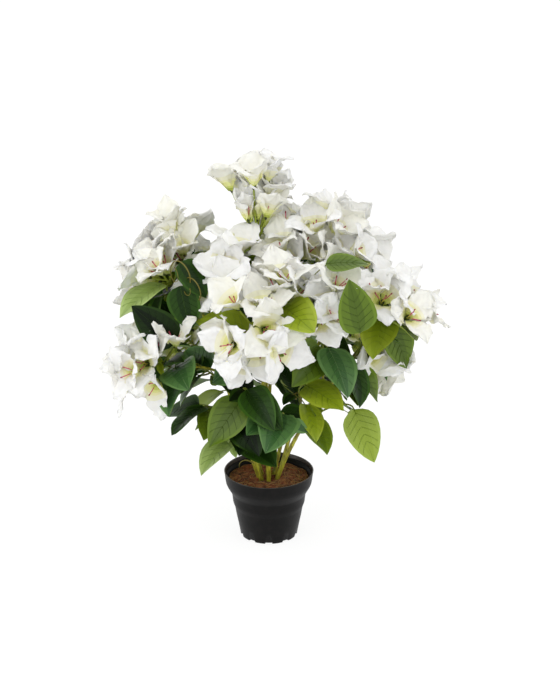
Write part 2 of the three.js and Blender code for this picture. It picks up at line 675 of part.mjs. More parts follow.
for (const side of SIDE_TWIGS) {
  const curve = branchCurve(side, curves.get(side.parent));
  const whole = toSolid(limbGeometry(curve, 0, 1,
    BOUGH_TIP_RADIUS, TWIG_TIP_RADIUS, TWIG_SIDES, SIDE_TWIG_STEPS));
  addTwig(side, curve, 0, largestPiece(whole.subtract(roomAround(side.parent))));
}

for (const twig of twigs) growCollar(twig);
for (const twig of twigs.filter(({ spray }) => spray.flowers)) growBlossom(twig);
for (const twig of twigs) growLeaves(twig);
for (const { spray, parts } of twigs) {
  const joined = wasm.Manifold.union(parts).asOriginal().simplify(SIMPLIFY_TOLERANCE);
  const name = (spray.flowers ? 'blossom_' : 'foliage_') + spray.name;
  addNode(name, toGeometry(largestPiece(joined)), spray.flowers ? MATERIALS.blossom : MATERIALS.foliage);
}

export default bush;
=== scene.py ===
"""The looks of an artificial white bougainvillea bush in a nursery pot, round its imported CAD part.

Every mass of leaves and blossom is grown again by the CAD source's rule: the same curves and the same
order of random numbers, with finer twigs, young leaves and tendrils added within the same reach.
Shapes are worked out in millimetres in the CAD's frame and turned into metres when a mesh is made.
"""
import json
from dataclasses import dataclass, replace
from itertools import product
from math import cos, degrees, pi, radians, sin, sqrt

import bpy
import numpy as np
from mathutils.kdtree import KDTree
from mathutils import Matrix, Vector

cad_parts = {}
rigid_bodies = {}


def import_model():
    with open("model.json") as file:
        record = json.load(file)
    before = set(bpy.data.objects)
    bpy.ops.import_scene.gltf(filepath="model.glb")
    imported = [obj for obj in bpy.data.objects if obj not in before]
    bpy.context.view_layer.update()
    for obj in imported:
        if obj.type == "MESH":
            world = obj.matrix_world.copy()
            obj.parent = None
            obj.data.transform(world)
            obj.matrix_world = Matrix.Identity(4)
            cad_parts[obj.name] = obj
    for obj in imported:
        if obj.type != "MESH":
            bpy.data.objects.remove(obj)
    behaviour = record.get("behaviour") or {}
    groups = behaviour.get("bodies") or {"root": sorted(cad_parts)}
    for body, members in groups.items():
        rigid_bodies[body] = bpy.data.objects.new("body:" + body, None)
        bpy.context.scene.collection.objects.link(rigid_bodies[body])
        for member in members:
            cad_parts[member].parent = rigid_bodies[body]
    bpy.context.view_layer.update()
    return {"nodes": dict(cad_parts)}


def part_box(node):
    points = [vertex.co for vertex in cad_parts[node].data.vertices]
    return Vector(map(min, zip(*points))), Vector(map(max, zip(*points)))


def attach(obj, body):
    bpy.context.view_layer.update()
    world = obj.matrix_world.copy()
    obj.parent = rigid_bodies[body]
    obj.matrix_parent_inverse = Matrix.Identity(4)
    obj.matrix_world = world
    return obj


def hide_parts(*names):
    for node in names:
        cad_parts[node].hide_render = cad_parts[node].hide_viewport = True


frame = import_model()
scene = bpy.context.scene

MM = 0.001
UP = np.array([0.0, 0.0, 1.0])
TURN = 2 * pi


def add_object(name, data):
    made = bpy.data.objects.new(name, data)
    scene.collection.objects.link(made)
    return made


# ---- camera
camera = add_object("camera", bpy.data.cameras.new("camera"))
camera.location = (0.015, -2.0, 0.995)
camera.rotation_euler = (radians(69.9), 0, 0)
camera.data.sensor_width = 36
camera.data.lens = 83.73
camera.data.dof.use_dof = False
scene.camera = camera

# ---- the plant's sizes, as in the source
STEM_RING_RADIUS = 12
STEM_FOOT_HEIGHT = 78.5
STEM_FOOT_RADIUS = 2.8
STEM_TIP_RADIUS = 1.9
STEM_LEAN = 0.34
BOUGH_FOOT_RADIUS = 1.8
BOUGH_TIP_RADIUS = 1.4
TWIG_TIP_RADIUS = 1.1
STEM_SPLIT = 0.7
BOUGH_SPLIT = 0.5
BRACT_LENGTH = 47
BRACT_WIDTH = 36
BRACT_OPENING = radians(36)
BRACTS_PER_FLOWER = 3
PEDICEL_STEP = 3
TRIES = 10
STALK_TILT = (0.85, 1.15)
STALK_TURN = 60
SEED_TURN = 40
STALK_TIERS = (0.75, 1.2)
STALK_LENGTHENING = 0.25
AXIS_TO_FACE = 0.25
AXIS_TO_SKY = 0.2
FLOWER_SIZE = (0.88, 1.12)
LIGHT_HEIGHT = 22
LEAF_LENGTH = 68
LEAF_WIDTH = 47
LEAF_CUP = 0.14
LEAF_BEND = 0.2
PETIOLE_LENGTH = 13
END_PETIOLE_LENGTH = 5
PETIOLE_RISE = 0.35
FACE_TO_OUTSIDE = 0.9
GOLDEN_ANGLE = 137.5
FLOWER_SEED = 100
LEAF_SEED = 200
COLLAR_LEAF_SIZE = (0.95, 1.1)
COLLAR_ROLL = 0.4
LEAF_SIZE = (0.76, 1.14)
LEAF_ROLL = 1.1
LEAF_SPLAY = 62
LEAF_TURN = 40
LEAF_TO_OUTSIDE = 0.45
LEAF_DROOP = (0.2, 0.9)
PETIOLE_SIZE = (0.8, 1.3)
LEAFY_STRETCH = (0.12, 0.88)
LEAF_TRIES = 3
ARRIVAL_RISE = 0.7
LEAVING_PULL = 0.42
ARRIVING_PULL = 0.25
SAME_PLACE = 0.12  # how near a tip has to be to a corner of the CAD mass to be that one
RANDOM_RANGE = 2 ** 32
SEED_FACTOR = 2654435761
DRAW_FACTOR = 1664525
DRAW_STEP = 1013904223


@dataclass
class Spray:
    """A stem, bough or side twig with what grows at its end. A leaf of its collar has a share of the
    curve, bearing, height, roll and tint. fillers counts the flowers added to the source's, closed is how
    much steeper the bracts stand, in degrees, and tints are dealt out to the other leaves."""

    name: str
    hub: tuple
    face: tuple
    seed: int
    leaves: int
    flowers: int = 0
    spread: float = 0
    pedicel: float = 0
    parent: str = ""
    at: float = 0
    ring: float = None
    open: float = 0
    collar: tuple = ()
    fillers: int = 4
    closed: float = 0
    tints: str = "dark blue mid olive"


STEMS = [
    Spray("front", (-16, -112, 334), (262, 22), 53, 1, 10, 80, 25, ring=270, open=34, fillers=3,
          collar=((0.88, 171, 17, -0.2, "bright"), (0.76, 172, -34, 0, "blue")), tints="mid dark"),
    Spray("right", (150, -20, 318), (355, 36), 12, 2, 8, 72, 36, ring=330,
          collar=((0.99, 257, -16, -0.7, "bright"), (0.99, 354, -63, -1.3, "olive"),
                  (0.89, 127, 64, 0.7, "mid"))),
    Spray("left", (-128, -24, 366), (190, 16), 13, 2, 7, 66, 29, ring=220,
          collar=((0.73, 186, 19, 0.5, "dark"), (0.67, 144, 35, 0.6, "night"),
                  (0.98, 222, -12, 0.2, "pale"))),
    Spray("upper_left", (-108, 20, 384), (160, 60), 14, 3, 7, 64, 27, ring=180, fillers=5, closed=7),
    Spray("upper_right", (69, 20, 402), (15, 58), 15, 2, 7, 62, 31, ring=15, fillers=5, closed=9,
          collar=((0.9, 20, 0, 0, "mid"),)),
    Spray("top", (-15, 10, 418), (100, 84), 16, 3, 7, 26, 52, fillers=7, closed=20, tints="mid bright"),
    Spray("back_right", (110, 92, 335), (40, 36), 17, 4, 6, 68, 28, ring=55),
    Spray("back", (18, 112, 365), (82, 48), 18, 4, 6, 68, 28, ring=95),
    Spray("back_left", (-96, 98, 320), (135, 32), 19, 4, 6, 68, 28, ring=140),
]
BOUGHS = [
    Spray("front_high", (16, -84, 352), (285, 66), 21, 1, 7, 64, 27, "front", 0.42,
          collar=((0.99, 292, -1, -0.7, "bright"),), fillers=5),
    Spray("lower_left", (-140, -72, 274), (205, 20), 22, 3, 8, 74, 27, "left", 0.45,
          collar=((0.69, 281, 6, 0.5, "blue"),), fillers=3),
    Spray("right_centre", (64, -72, 344), (272, 46), 23, 2, 6, 60, 24, "right", 0.4,
          collar=((0.7, 217, -9, 0, "dark"),), fillers=5),
    Spray("centre_left", (-46, -20, 364), (250, 62), 24, 2, 6, 64, 26, "upper_left", 0.42,
          collar=((0.83, 167, 34, -0.3, "dark"),), fillers=2),
    Spray("centre_right", (34, -4, 390), (300, 62), 25, 2, 6, 62, 26, "top", 0.45, fillers=6),
    Spray("lower_right", (130, 20, 258), (340, -8), 26, 3, 5, 60, 24, "right", 0.5),
    Spray("back_low_right", (104, 98, 258), (38, 12), 27, 4, 5, 66, 26, "back_right", 0.4),
    Spray("back_low", (10, 138, 280), (86, 16), 28, 4, 5, 66, 26, "back", 0.4),
    Spray("back_low_left", (-112, 96, 246), (145, 12), 29, 4, 5, 66, 26, "back_left", 0.4),
]
SIDE_TWIG_SEED = 31
# Twigs deep in the bush take the darkest leaf tint as painted shade.
SIDE_TWIG_TABLE = (
    ("hanging_right", "right", 0.3, (109, -30, 196), (313, -57), -1.3, 0, "lime"),
    ("pot_left", "left", 0.2, (-42, -62, 166), (235, -10), 0, 1, "pale dark"),
    ("front_round", "front", 0.3, (19, -92, 212), (256, -8), 0, 2, "blue dark"),
    ("front_left", "front", 0.24, (-38, -74, 212), (286, -22), 0, 2, "night dark"),
    ("front_right", "right", 0.26, (44, -70, 241), (314, -5), 0, 4, "bright mid dark"),
    ("right_dark", "right", 0.44, (102, -44, 266), (292, -33), 0, 3, "dark olive"),
    ("left_low", "left", 0.3, (-81, -40, 200), (230, -6), 0, 2, "dark mid"),
    ("front_bright", "front", 0.42, (-29, -98, 248), (303, -25), 0, 3, "dark night olive"),
    ("left_middle", "upper_left", 0.34, (-92, -8, 246), (200, 5), 0, 3, "blue dark"),
    ("right_back", "upper_right", 0.32, (76, 44, 232), (20, 0), 0, 3, "dark olive"),
    ("back_right_low", "back_right", 0.24, (58, 76, 190), (50, -15), 0, 3, "dark mid"),
    ("back_middle", "back", 0.28, (2, 90, 214), (95, -10), 0, 4, "dark blue mid"),
    ("back_left_low", "back_left", 0.24, (-66, 62, 196), (140, -15), 0, 3, "dark olive"),
    ("middle", "top", 0.4, (4, 30, 282), (60, 30), 0, 4, "night dark"),
)
SIDE_TWIGS = [
    Spray(name, hub, face, SIDE_TWIG_SEED + number, leaves, parent=parent, at=at,
          collar=((1, *face, roll, tints.split()[0]),), tints=tints)
    for number, (name, parent, at, hub, face, roll, leaves, tints) in enumerate(SIDE_TWIG_TABLE)
]


# ---- directions and curves
def seeded_random(seed):
    """Numbers from 0 to 1 that depend only on the seed and the count of draws."""
    state = (seed * SEED_FACTOR) % RANDOM_RANGE

    def draw():
        nonlocal state
        state = (state * DRAW_FACTOR + DRAW_STEP) % RANDOM_RANGE
        return state / RANDOM_RANGE

    return draw


def between(limits, random):
    low, high = limits
    return low + (high - low) * random()


def unit(vectors):
    """Vectors of length one, one or a row of them."""
    vectors = np.asarray(vectors, float)
    return vectors / np.maximum(np.linalg.norm(vectors, axis=-1, keepdims=True), 1e-12)


def towards(pointing):
    """The unit vector of a bearing, counted from +X towards +Y, and a height above the horizon."""
    bearing, height = (radians(angle) for angle in pointing)
    return np.array([
        cos(bearing) * cos(height),
        sin(bearing) * cos(height),
        sin(height),
    ])


def cross_axes(direction):
    """Two unit vectors square to a direction and to each other."""
    helper = UP if abs(direction[2]) < 0.9 else np.array([1.0, 0.0, 0.0])
    side = unit(np.cross(helper, direction))
    return side, np.cross(direction, side)


def splay(axis, angle, bearing):
    """The direction at an angle from an axis, turned round it by a bearing, both in degrees."""
    side, other = cross_axes(axis)
    a, b = radians(angle), radians(bearing)
    return side * cos(b) * sin(a) + other * sin(b) * sin(a) + axis * cos(a)


def outward_at(point):
    """The horizontal direction from the middle of the bush to a point."""
    return unit([point[0], point[1], 0])


class Curve:
    """A cubic Bezier curve."""

    def __init__(self, *corners):
        self.corners = np.array(corners, float)
        steps = self.point(np.linspace(0, 1, 201))
        self.length = np.linalg.norm(np.diff(steps, axis=0), axis=1).sum()

    def point(self, share):
        t = np.asarray(share, float)[..., None]
        a, b, c, d = self.corners
        return (1 - t) ** 3 * a + 3 * (1 - t) ** 2 * t * b + 3 * (1 - t) * t ** 2 * c + t ** 3 * d

    def tangent(self, share):
        step = 1e-4
        return unit(self.point(min(share + step, 1)) - self.point(max(share - step, 0)))


def reaching_curve(start, start_direction, hub, face):
    """The curve of a limb, which leaves along one direction and arrives along another."""
    hub = np.array(hub, float)
    reach = np.linalg.norm(hub - start)
    arrival = unit(towards(face) + ARRIVAL_RISE * UP)
    return Curve(start, start + start_direction * reach * LEAVING_PULL,
                 hub - arrival * reach * ARRIVING_PULL, hub)


def stem_curve(stem):
    outward = np.zeros(3) if stem.ring is None else towards((stem.ring, 0))
    foot = outward * STEM_RING_RADIUS + UP * STEM_FOOT_HEIGHT
    return reaching_curve(foot, unit(outward * STEM_LEAN + UP), stem.hub, stem.face)


def branch_curve(branch, parent_curve):
    start = parent_curve.point(branch.at)
    aim = unit(np.array(branch.hub) - start)
    leaving = unit(parent_curve.tangent(branch.at) + aim)
    return reaching_curve(start, leaving, branch.hub, branch.face)


# ---- meshes
THIN_EDGE = radians(110)  # faces that meet at more are two sides of a thin sheet


class Heap:
    """Gathers many small closed shapes into one mesh. Each face has the name of its material."""

    def __init__(self):
        self.points = []
        self.faces = []
        self.zones = []
        self.count = 0

    def add(self, points, faces, zones):
        """Adds one shape. zones is one material's name or one for each face."""
        self.points.append(np.asarray(points, float).reshape(-1, 3))
        self.faces.extend([corner + self.count for corner in face] for face in faces)
        self.zones.extend([zones] * len(faces) if isinstance(zones, str) else zones)
        self.count += len(self.points[-1])

    def piece(self, name, slot, *replaced):
        """Makes the object, which rides on the root and stands for the CAD nodes named."""
        mesh = bpy.data.meshes.new(name)
        mesh.from_pydata(np.concatenate(self.points) * MM, [], self.faces)
        used = sorted(set(self.zones))
        for zone in used:
            mesh.materials.append(MATERIALS[zone])
        order = {zone: number for number, zone in enumerate(used)}
        mesh.polygons.foreach_set("material_index", [order[zone] for zone in self.zones])
        mesh.polygons.foreach_set("use_smooth", [True] * len(self.faces))
        mesh.set_sharp_from_angle(angle=THIN_EDGE)
        made = add_object(name, mesh)
        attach(made, "root")
        if replaced:
            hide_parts(*replaced)


def circle(sides):
    """Evenly spaced turns round an axis, in radians."""
    return np.arange(sides) * TURN / sides


def ring_faces(rings, sides):
    """The faces of a closed skin over rings of points, both ends last."""
    faces = []
    for i in range(rings - 1):
        for j in range(sides):
            a, b = i * sides + j, i * sides + (j + 1) % sides
            faces.append((a, b, b + sides, a + sides))
    last = (rings - 1) * sides
    return faces + [tuple(range(sides))[::-1], tuple(range(last, last + sides))]


def tube(path, radii, sides, level=None):
    """A closed round tube along a path of points, with one radius, or one at each point or corner.
    level is a direction about square to the path."""
    path = np.asarray(path, float)
    radii = np.atleast_1d(np.asarray(radii, float))
    radii = np.broadcast_to(radii.reshape(len(radii), -1), (len(path), sides))
    tangents = unit(np.gradient(path, axis=0))
    if level is None:
        level = cross_axes(unit(path[-1] - path[0]))[0]
    other = unit(np.cross(tangents, level))
    side = np.cross(other, tangents)
    turns = circle(sides)
    rings = (path[:, None]
             + (radii * np.cos(turns))[..., None] * side[:, None]
             + (radii * np.sin(turns))[..., None] * other[:, None])
    return rings, ring_faces(len(path), sides)


def shell(upper, thickness):
    """A thin closed sheet under a grid of points. Its faces come with the upper ones first."""
    rows, columns = upper.shape[:2]
    normals = unit(np.cross(np.gradient(upper, axis=0), np.gradient(upper, axis=1)))
    above = np.arange(rows * columns).reshape(rows, columns)
    below = above.copy()
    inner = upper[1:-1, 1:-1] - normals[1:-1, 1:-1] * thickness
    below[1:-1, 1:-1] = rows * columns + np.arange((rows - 2) * (columns - 2)).reshape(rows - 2, columns - 2)
    points = np.concatenate([upper.reshape(-1, 3), inner.reshape(-1, 3)])
    faces = []
    for grid, turned in ((above, False), (below, True)):
        for i in range(rows - 1):
            for j in range(columns - 1):
                face = (grid[i, j], grid[i + 1, j], grid[i + 1, j + 1], grid[i, j + 1])
                faces.append(tuple(int(corner) for corner in (face[::-1] if turned else face)))
    return points, faces


def outline(share, table):
    """A breadth at a share of the length, from a table of shares and breadths."""
    shares, breadths = zip(*table)
    return np.interp(share, shares, breadths)


def band(share, bands, body):
    """The zone of the band that a share falls in, or body past the last."""
    return next((zone for limit, zone in bands if share < limit), body)


# ---- materials
def linear(code):
    """A colour code such as 0x8fa83c as the linear colour that a shader takes."""
    channels = [(code >> shift & 255) / 255 for shift in (16, 8, 0)]
    return [c / 12.92 if c <= 0.04045 else ((c + 0.055) / 1.055) ** 2.4 for c in channels] + [1]


def halfway(one, other):
    """The colour code between two others."""
    return sum(((one >> shift & 255) + (other >> shift & 255)) // 2 << shift for shift in (16, 8, 0))


def set_inputs(node, values):
    """Sets plain values on a node's own sockets."""
    for name, value in values.items():
        node.inputs[name].default_value = value
    return node


def link(node, output, other, socket):
    node.id_data.links.new(node.outputs[output], other.inputs[socket])


GLOW_DEPTH = 0.4  # how far light spreads in thin cloth
GLOW_TINT = (1, 0.97, 0.9)
BLOTCH_SIZE = 5  # of the second colour's blotches, in grains
BLOTCH_EDGE = (0.42, 0.62)  # the noise where one colour ends and the other is full
MATERIALS = {}


def finish(name, code, roughness, grain, relief, sheen=0.0, specular=0.5, glow=0.0, second=None,
           streak=1.0):
    """A moulded or woven finish, kept by its name. grain is the size of its relief in millimetres and
    relief its strength. glow is how much light thin cloth lets through. second is a colour that noise
    mixes in, stretched along Z where streak is under one."""
    made = bpy.data.materials.new(name)
    made.use_nodes = True
    nodes = made.node_tree.nodes
    shader = set_inputs(nodes["Principled BSDF"], {
        "Base Color": linear(code), "Roughness": roughness, "Specular IOR Level": specular,
        "Sheen Weight": sheen,
    })
    if glow:
        set_inputs(shader, {"Subsurface Weight": glow, "Subsurface Radius": GLOW_TINT,
                            "Subsurface Scale": GLOW_DEPTH * MM})
    place = nodes.new("ShaderNodeTexCoord")
    noise = set_inputs(nodes.new("ShaderNodeTexNoise"), {"Scale": 1 / (grain * MM), "Detail": 3})
    link(place, "Object", noise, "Vector")
    bump = set_inputs(nodes.new("ShaderNodeBump"), {"Strength": relief, "Distance": grain * MM / 2})
    link(noise, "Fac", bump, "Height")
    link(bump, "Normal", shader, "Normal")
    if second is not None:
        stretch = set_inputs(nodes.new("ShaderNodeMapping"), {"Scale": (1, 1, streak)})
        link(place, "Object", stretch, "Vector")
        blotch = set_inputs(nodes.new("ShaderNodeTexNoise"),
                            {"Scale": 1 / (grain * BLOTCH_SIZE * MM), "Detail": 4})
        link(stretch, "Vector", blotch, "Vector")
        ramp = nodes.new("ShaderNodeValToRGB")
        for stop, position, colour in zip(ramp.color_ramp.elements, BLOTCH_EDGE, (code, second)):
            stop.position = position
            stop.color = linear(colour)
        link(blotch, "Fac", ramp, "Fac")
        link(ramp, "Color", shader, "Base Color")
    MATERIALS[name] = made
    return made


# Each tint: the middle and margin of the upper face, the under face and the veins.
LEAF_TINTS = {
    # The darkest tint is partly the leaves' own dark green and partly painted shade for leaves deep inside
    # the bush.
    "night": (0x0A1805, 0x243C0E, 0x3E5618, 0x304A1A),
    "dark": (0x1A320C, 0x385A1A, 0x567226, 0x567430),
    "blue": (0x365C2C, 0x62884A, 0x76924E, 0x96AC7A),
    "olive": (0x4C6412, 0x68821E, 0x80942E, 0x42560F),
    "mid": (0x5E7612, 0x7E9626, 0x92A440, 0x8AA448),
    "bright": (0x8A9E1C, 0xA0B030, 0xA8B850, 0x647814),
    "lime": (0x92A836, 0x9EB44A, 0xA8BC5A, 0x587016),
    # The palest tint is partly the leaves' own pale green and partly a painted sheen.
    "pale": (0x90A858, 0xAEC476, 0xB4C88A, 0x6E8648),
}
finish("pot", 0x090908, 0.45, 1.6, 0.2, specular=0.15, second=0x100E0D)
# The rim's lip is lighter than the rest of the pot: a painted highlight.
finish("pot_rim", 0x3E3632, 0.35, 1.6, 0.2)
finish("fill", 0x7C4E32, 0.95, 0.9, 0.9, second=0xA67046)
finish("fibre_red", 0x9A5032, 0.9, 0.8, 0.4)
finish("fibre_tan", 0xB48E5C, 0.9, 0.8, 0.4)
finish("fibre_dark", 0x4A3020, 0.9, 0.8, 0.4)
finish("stem", 0xAAA628, 0.5, 0.8, 0.5, second=0x86801C, streak=0.2)
finish("stem_foot", 0xC4C23C, 0.45, 0.8, 0.5, second=0x8C8424, streak=0.15)
finish("twig", 0x7E8A2A, 0.5, 0.7, 0.4)
finish("pedicel", 0xA2B23C, 0.5, 0.6, 0.3)
finish("calyx", 0x3E4A12, 0.55, 0.6, 0.4)
finish("tendril", 0x746A1E, 0.5, 0.6, 0.3)
finish("filament_foot", 0xD2C458, 0.6, 0.4, 0.2)
finish("filament", 0xD2567E, 0.6, 0.4, 0.2)
finish("anther", 0x9C3048, 0.7, 0.4, 0.3)
BRACT_COLOURS = {"white": 0xFAFAF6, "ivory": 0xF9F8EE, "cream": 0xF7F5DC, "butter": 0xF3F1C4,
                 "lemon": 0xECEDA4, "lime": 0xD8E07C, "throat": 0xB4C050}
for colour, code in BRACT_COLOURS.items():
    finish(colour, code, 0.75, 4, 0.3, sheen=0.4, specular=0.15, glow=0.6)
LEAF_GLOSS = 0.32
DARK_LEAF_GLOSS = 0.15
for tint, (middle, margin, under, vein) in LEAF_TINTS.items():
    soft_vein = halfway(vein, middle)
    parts = {"middle": middle, "between": halfway(middle, margin), "margin": margin, "under": under,
             "vein": soft_vein, "side_vein": halfway(soft_vein, middle)}
    gloss = DARK_LEAF_GLOSS if tint in ("night", "dark") else LEAF_GLOSS
    for part, code in parts.items():
        roughness = 0.55 if part == "under" else 0.34
        finish(tint + "_" + part, code, roughness, 1.1, 0.25, specular=gloss)

# ---- leaves
LEAF_ROWS = np.array([0, 0.04, 0.1, 0.18, 0.28, 0.38, 0.5, 0.62, 0.74, 0.85, 0.94, 1])
LEAF_COLUMNS = np.array([-1, -0.82, -0.62, -0.36, -0.1, 0.1, 0.36, 0.62, 0.82, 1])
YOUNG_ROWS = LEAF_ROWS[[0, 2, 4, 6, 8, 9, 11]]
YOUNG_COLUMNS = np.array([-1, -0.5, 0.5, 1])
YOUNG_LENGTH = 40  # leaves shorter than this have fewer faces and no side veins
LEAF_OUTLINE = ((0, 0.05), (0.03, 0.4), (0.08, 0.68), (0.16, 0.9), (0.28, 1), (0.42, 1), (0.56, 0.91),
                (0.7, 0.73), (0.82, 0.51), (0.91, 0.29), (0.97, 0.1), (1, 0.015))
SIDE_VEINS = (0.07, 0.2, 0.33, 0.47, 0.6)
BANDS_ACROSS = ((0.4, "_middle"), (0.75, "_between"), (1, "_margin"))  # out from the midrib
BLADE_THICKNESS = 0.7
VEIN_LIFT = 0.25
SIDE_VEIN_RUN = 0.2  # along the blade
SIDE_VEIN_SPAN = 0.78  # across it
RUFFLE_WAVES = 1.3
RUFFLE_LEAD = 1.1
RIDGE_HEIGHT = 0.35  # between side veins, with the spacing and slant as shares of the length
RIDGE_SPACING = 0.13
RIDGE_SLANT = 0.2


@dataclass
class Leaf:
    """A leaf's place and its own small differences."""

    root: np.ndarray
    foot: np.ndarray
    along: np.ndarray
    upper: np.ndarray
    length: float
    tint: str
    breadth: float = 1
    fold: float = 0
    ruffle: float = 0
    twist: float = 0
    phase: float = 0

    def tip(self):
        return self.foot + (self.along - self.upper * LEAF_BEND) * self.length

    def light(self):
        """The point over the middle of the blade that flowers leave open."""
        return self.foot + self.along * self.length / 2 + self.upper * LIGHT_HEIGHT

    def points(self, share, across):
        """Points of the upper face, at shares of the length and from -1 to 1 across."""
        half = self.breadth * LEAF_WIDTH * self.length / LEAF_LENGTH / 2 * outline(share, LEAF_OUTLINE)
        side = half * across
        wave = np.sin(TURN * (RUFFLE_WAVES * share + self.phase) + np.sign(across) * RUFFLE_LEAD)
        ridges = RIDGE_HEIGHT * np.cos(TURN * (share - RIDGE_SLANT * np.abs(across)) / RIDGE_SPACING)
        lift = (LEAF_CUP + self.fold) * np.abs(side) + self.ruffle * wave * across ** 2 * (half > 1)
        lift = lift + ridges * np.abs(across) * (1 - np.abs(across)) * 2
        turned = self.twist * share
        level = np.cross(self.upper, self.along)
        x = side * np.cos(turned) - lift * np.sin(turned)
        y = side * np.sin(turned) + lift * np.cos(turned) - LEAF_BEND * self.length * share ** 2
        return (self.foot + (self.length * share)[..., None] * self.along
                + x[..., None] * level + y[..., None] * self.upper)


def place_leaf(root, along, petiole_length, length, roll, tint):
    """A leaf as the source sets it, on a stalk and with its face to the light."""
    stalk = unit(along + PETIOLE_RISE * UP)
    upper = UP + FACE_TO_OUTSIDE * outward_at(root) + roll * cross_axes(along)[0]
    upper = unit(upper - along * upper.dot(along))
    return Leaf(root, root + stalk * petiole_length, along, upper, length, tint)


def vary(leaf, draws):
    """Gives a leaf its own fold, ruffle and twist."""
    leaf.breadth = draws.uniform(0.9, 1.12)
    leaf.fold = draws.uniform(-0.1, 0.22)
    leaf.ruffle = draws.uniform(0.8, 3) * leaf.length / LEAF_LENGTH
    leaf.twist = draws.uniform(-0.4, 0.4)
    leaf.phase = draws.uniform(0, 1)
    return leaf


def add_leaf(leaves, stalks, leaf):
    """Adds a leaf's blade and veins to one heap and its stalk to another."""
    is_young = leaf.length < YOUNG_LENGTH
    rows, columns = (YOUNG_ROWS, YOUNG_COLUMNS) if is_young else (LEAF_ROWS, LEAF_COLUMNS)
    points, faces = shell(leaf.points(*np.meshgrid(rows, columns, indexing="ij")), BLADE_THICKNESS)
    centres = np.abs(columns[:-1] + columns[1:]) / 2
    zones = [leaf.tint + band(centre, BANDS_ACROSS, "") for centre in centres] * (len(rows) - 1)
    zones += [leaf.tint + "_under"] * len(zones)
    leaves.add(points, faces, zones)
    size = leaf.length / LEAF_LENGTH
    shares = np.linspace(0, 0.96, 9)
    midrib = leaf.points(shares, np.zeros(9))
    leaves.add(*tube(midrib, np.linspace(0.8, 0.35, 9) * size, 4), leaf.tint + "_vein")
    side_veins = () if is_young else SIDE_VEINS
    for start, hand in product(side_veins, (-1, 1)):
        run = np.linspace(0, 1, 6)
        line = leaf.points(start + SIDE_VEIN_RUN * run, hand * SIDE_VEIN_SPAN * run)
        line += leaf.upper * VEIN_LIFT
        leaves.add(*tube(line, np.linspace(0.34, 0.2, 6) * size, 4), leaf.tint + "_side_vein")
    stalk = Curve(leaf.root, leaf.root + (leaf.foot - leaf.root) * 0.5 + UP * 0.5,
                  leaf.foot - leaf.along * 2, leaf.foot + leaf.along * 2 - leaf.upper * BLADE_THICKNESS)
    stalks.add(*tube(stalk.point(np.linspace(0, 1, 6)), np.linspace(1, 0.85, 6) * max(size, 0.5), 6), "twig")


# ---- flowers
BRACT_ROWS = np.array([0, 0.04, 0.09, 0.15, 0.21, 0.28, 0.35, 0.42, 0.49, 0.56, 0.63, 0.7, 0.77, 0.83,
                       0.89, 0.95, 1])
BRACT_COLUMNS = np.linspace(-1, 1, 11)
BRACT_OUTLINE = ((0, 0.15), (0.1, 0.28), (0.2, 0.46), (0.32, 0.72), (0.43, 0.92), (0.53, 1), (0.63, 0.94),
                 (0.73, 0.78), (0.83, 0.55), (0.92, 0.3), (1, 0.07))
BRACT_THICKNESS = 0.35
BRACT_FULLNESS = 1.1  # breadth of the cloth as a share of the source's
BRACT_STRETCH = (1.04, 1.15)  # and its length
BRACT_STEEPENING = radians(8)  # how much steeper than its opening a bract leaves the throat
BRACT_FLARE = radians(40)  # how far it turns outwards from there to its tip
BRACT_SWAY = (-6, 7)  # how much each bract stands steeper or flatter, in degrees
FLOWER_SWAY = (-12, 10)  # how much a whole flower is more closed or open, in degrees
THROAT_RADIUS = 2.2
RAGGED_FROM = 0.25  # the share of the length from which the edge is ragged
CRUMPLE = 0.42
# Sharp folds: height, how many along the bract and across it, and which phase.
FOLDS = ((1.1, 1.6, 0.9, 1), (0.8, -1.1, 1.5, 2), (0.6, 0.7, 3.1, 5))
MOUTH = 0.56  # how far up its axis a flower is widest, as a share of its length
# How far out each colour reaches, as a share of the bract, inside and outside.
INSIDE_BANDS = ((0.08, "throat"), (0.16, "lime"), (0.25, "lemon"), (0.34, "butter"), (0.44, "cream"))
OUTSIDE_BANDS = ((0.06, "throat"), (0.13, "lime"), (0.24, "lemon"), (0.34, "butter"), (0.46, "cream"))


@dataclass
class Flower:
    """A flower's place: its stalk's root and direction, its head, its axis, size and turn."""

    root: np.ndarray
    stalk: np.ndarray
    head: np.ndarray
    axis: np.ndarray
    length: float
    spin: float

    def tips(self):
        """The tips of the three bracts in the CAD."""
        return [self.head + self.length * splay(self.axis, degrees(BRACT_OPENING), degrees(turn))
                for turn in self.turns()]

    def turns(self):
        return [TURN / BRACTS_PER_FLOWER * (lobe + 0.5) + self.spin for lobe in range(BRACTS_PER_FLOWER)]

    def mouth(self):
        return self.head + self.axis * MOUTH * self.length


def place_flower(spray, curve, index, random):
    """One flower of a spray as the source sets it, from five draws."""
    root = curve.point(1 - PEDICEL_STEP * index / curve.length)
    face = towards(spray.face)
    reached = sqrt((index + 0.5) / spray.flowers)
    tilt = (spray.open + (spray.spread - spray.open) * reached) * between(STALK_TILT, random)
    stalk = splay(face, tilt, index * GOLDEN_ANGLE + spray.seed * SEED_TURN + STALK_TURN * random())
    tier = STALK_TIERS[int(index) % 2] + STALK_LENGTHENING * random()
    head = root + stalk * spray.pedicel * tier
    axis = unit(stalk + AXIS_TO_FACE * face + AXIS_TO_SKY * UP)
    length = BRACT_LENGTH * between(FLOWER_SIZE, random)
    return Flower(root, stalk, head, axis, length, TURN * random())


def zigzag(place):
    """A wave between -1 and 1 with straight slopes and sharp creases."""
    return 4 * np.abs(place - np.floor(place + 0.5)) - 1


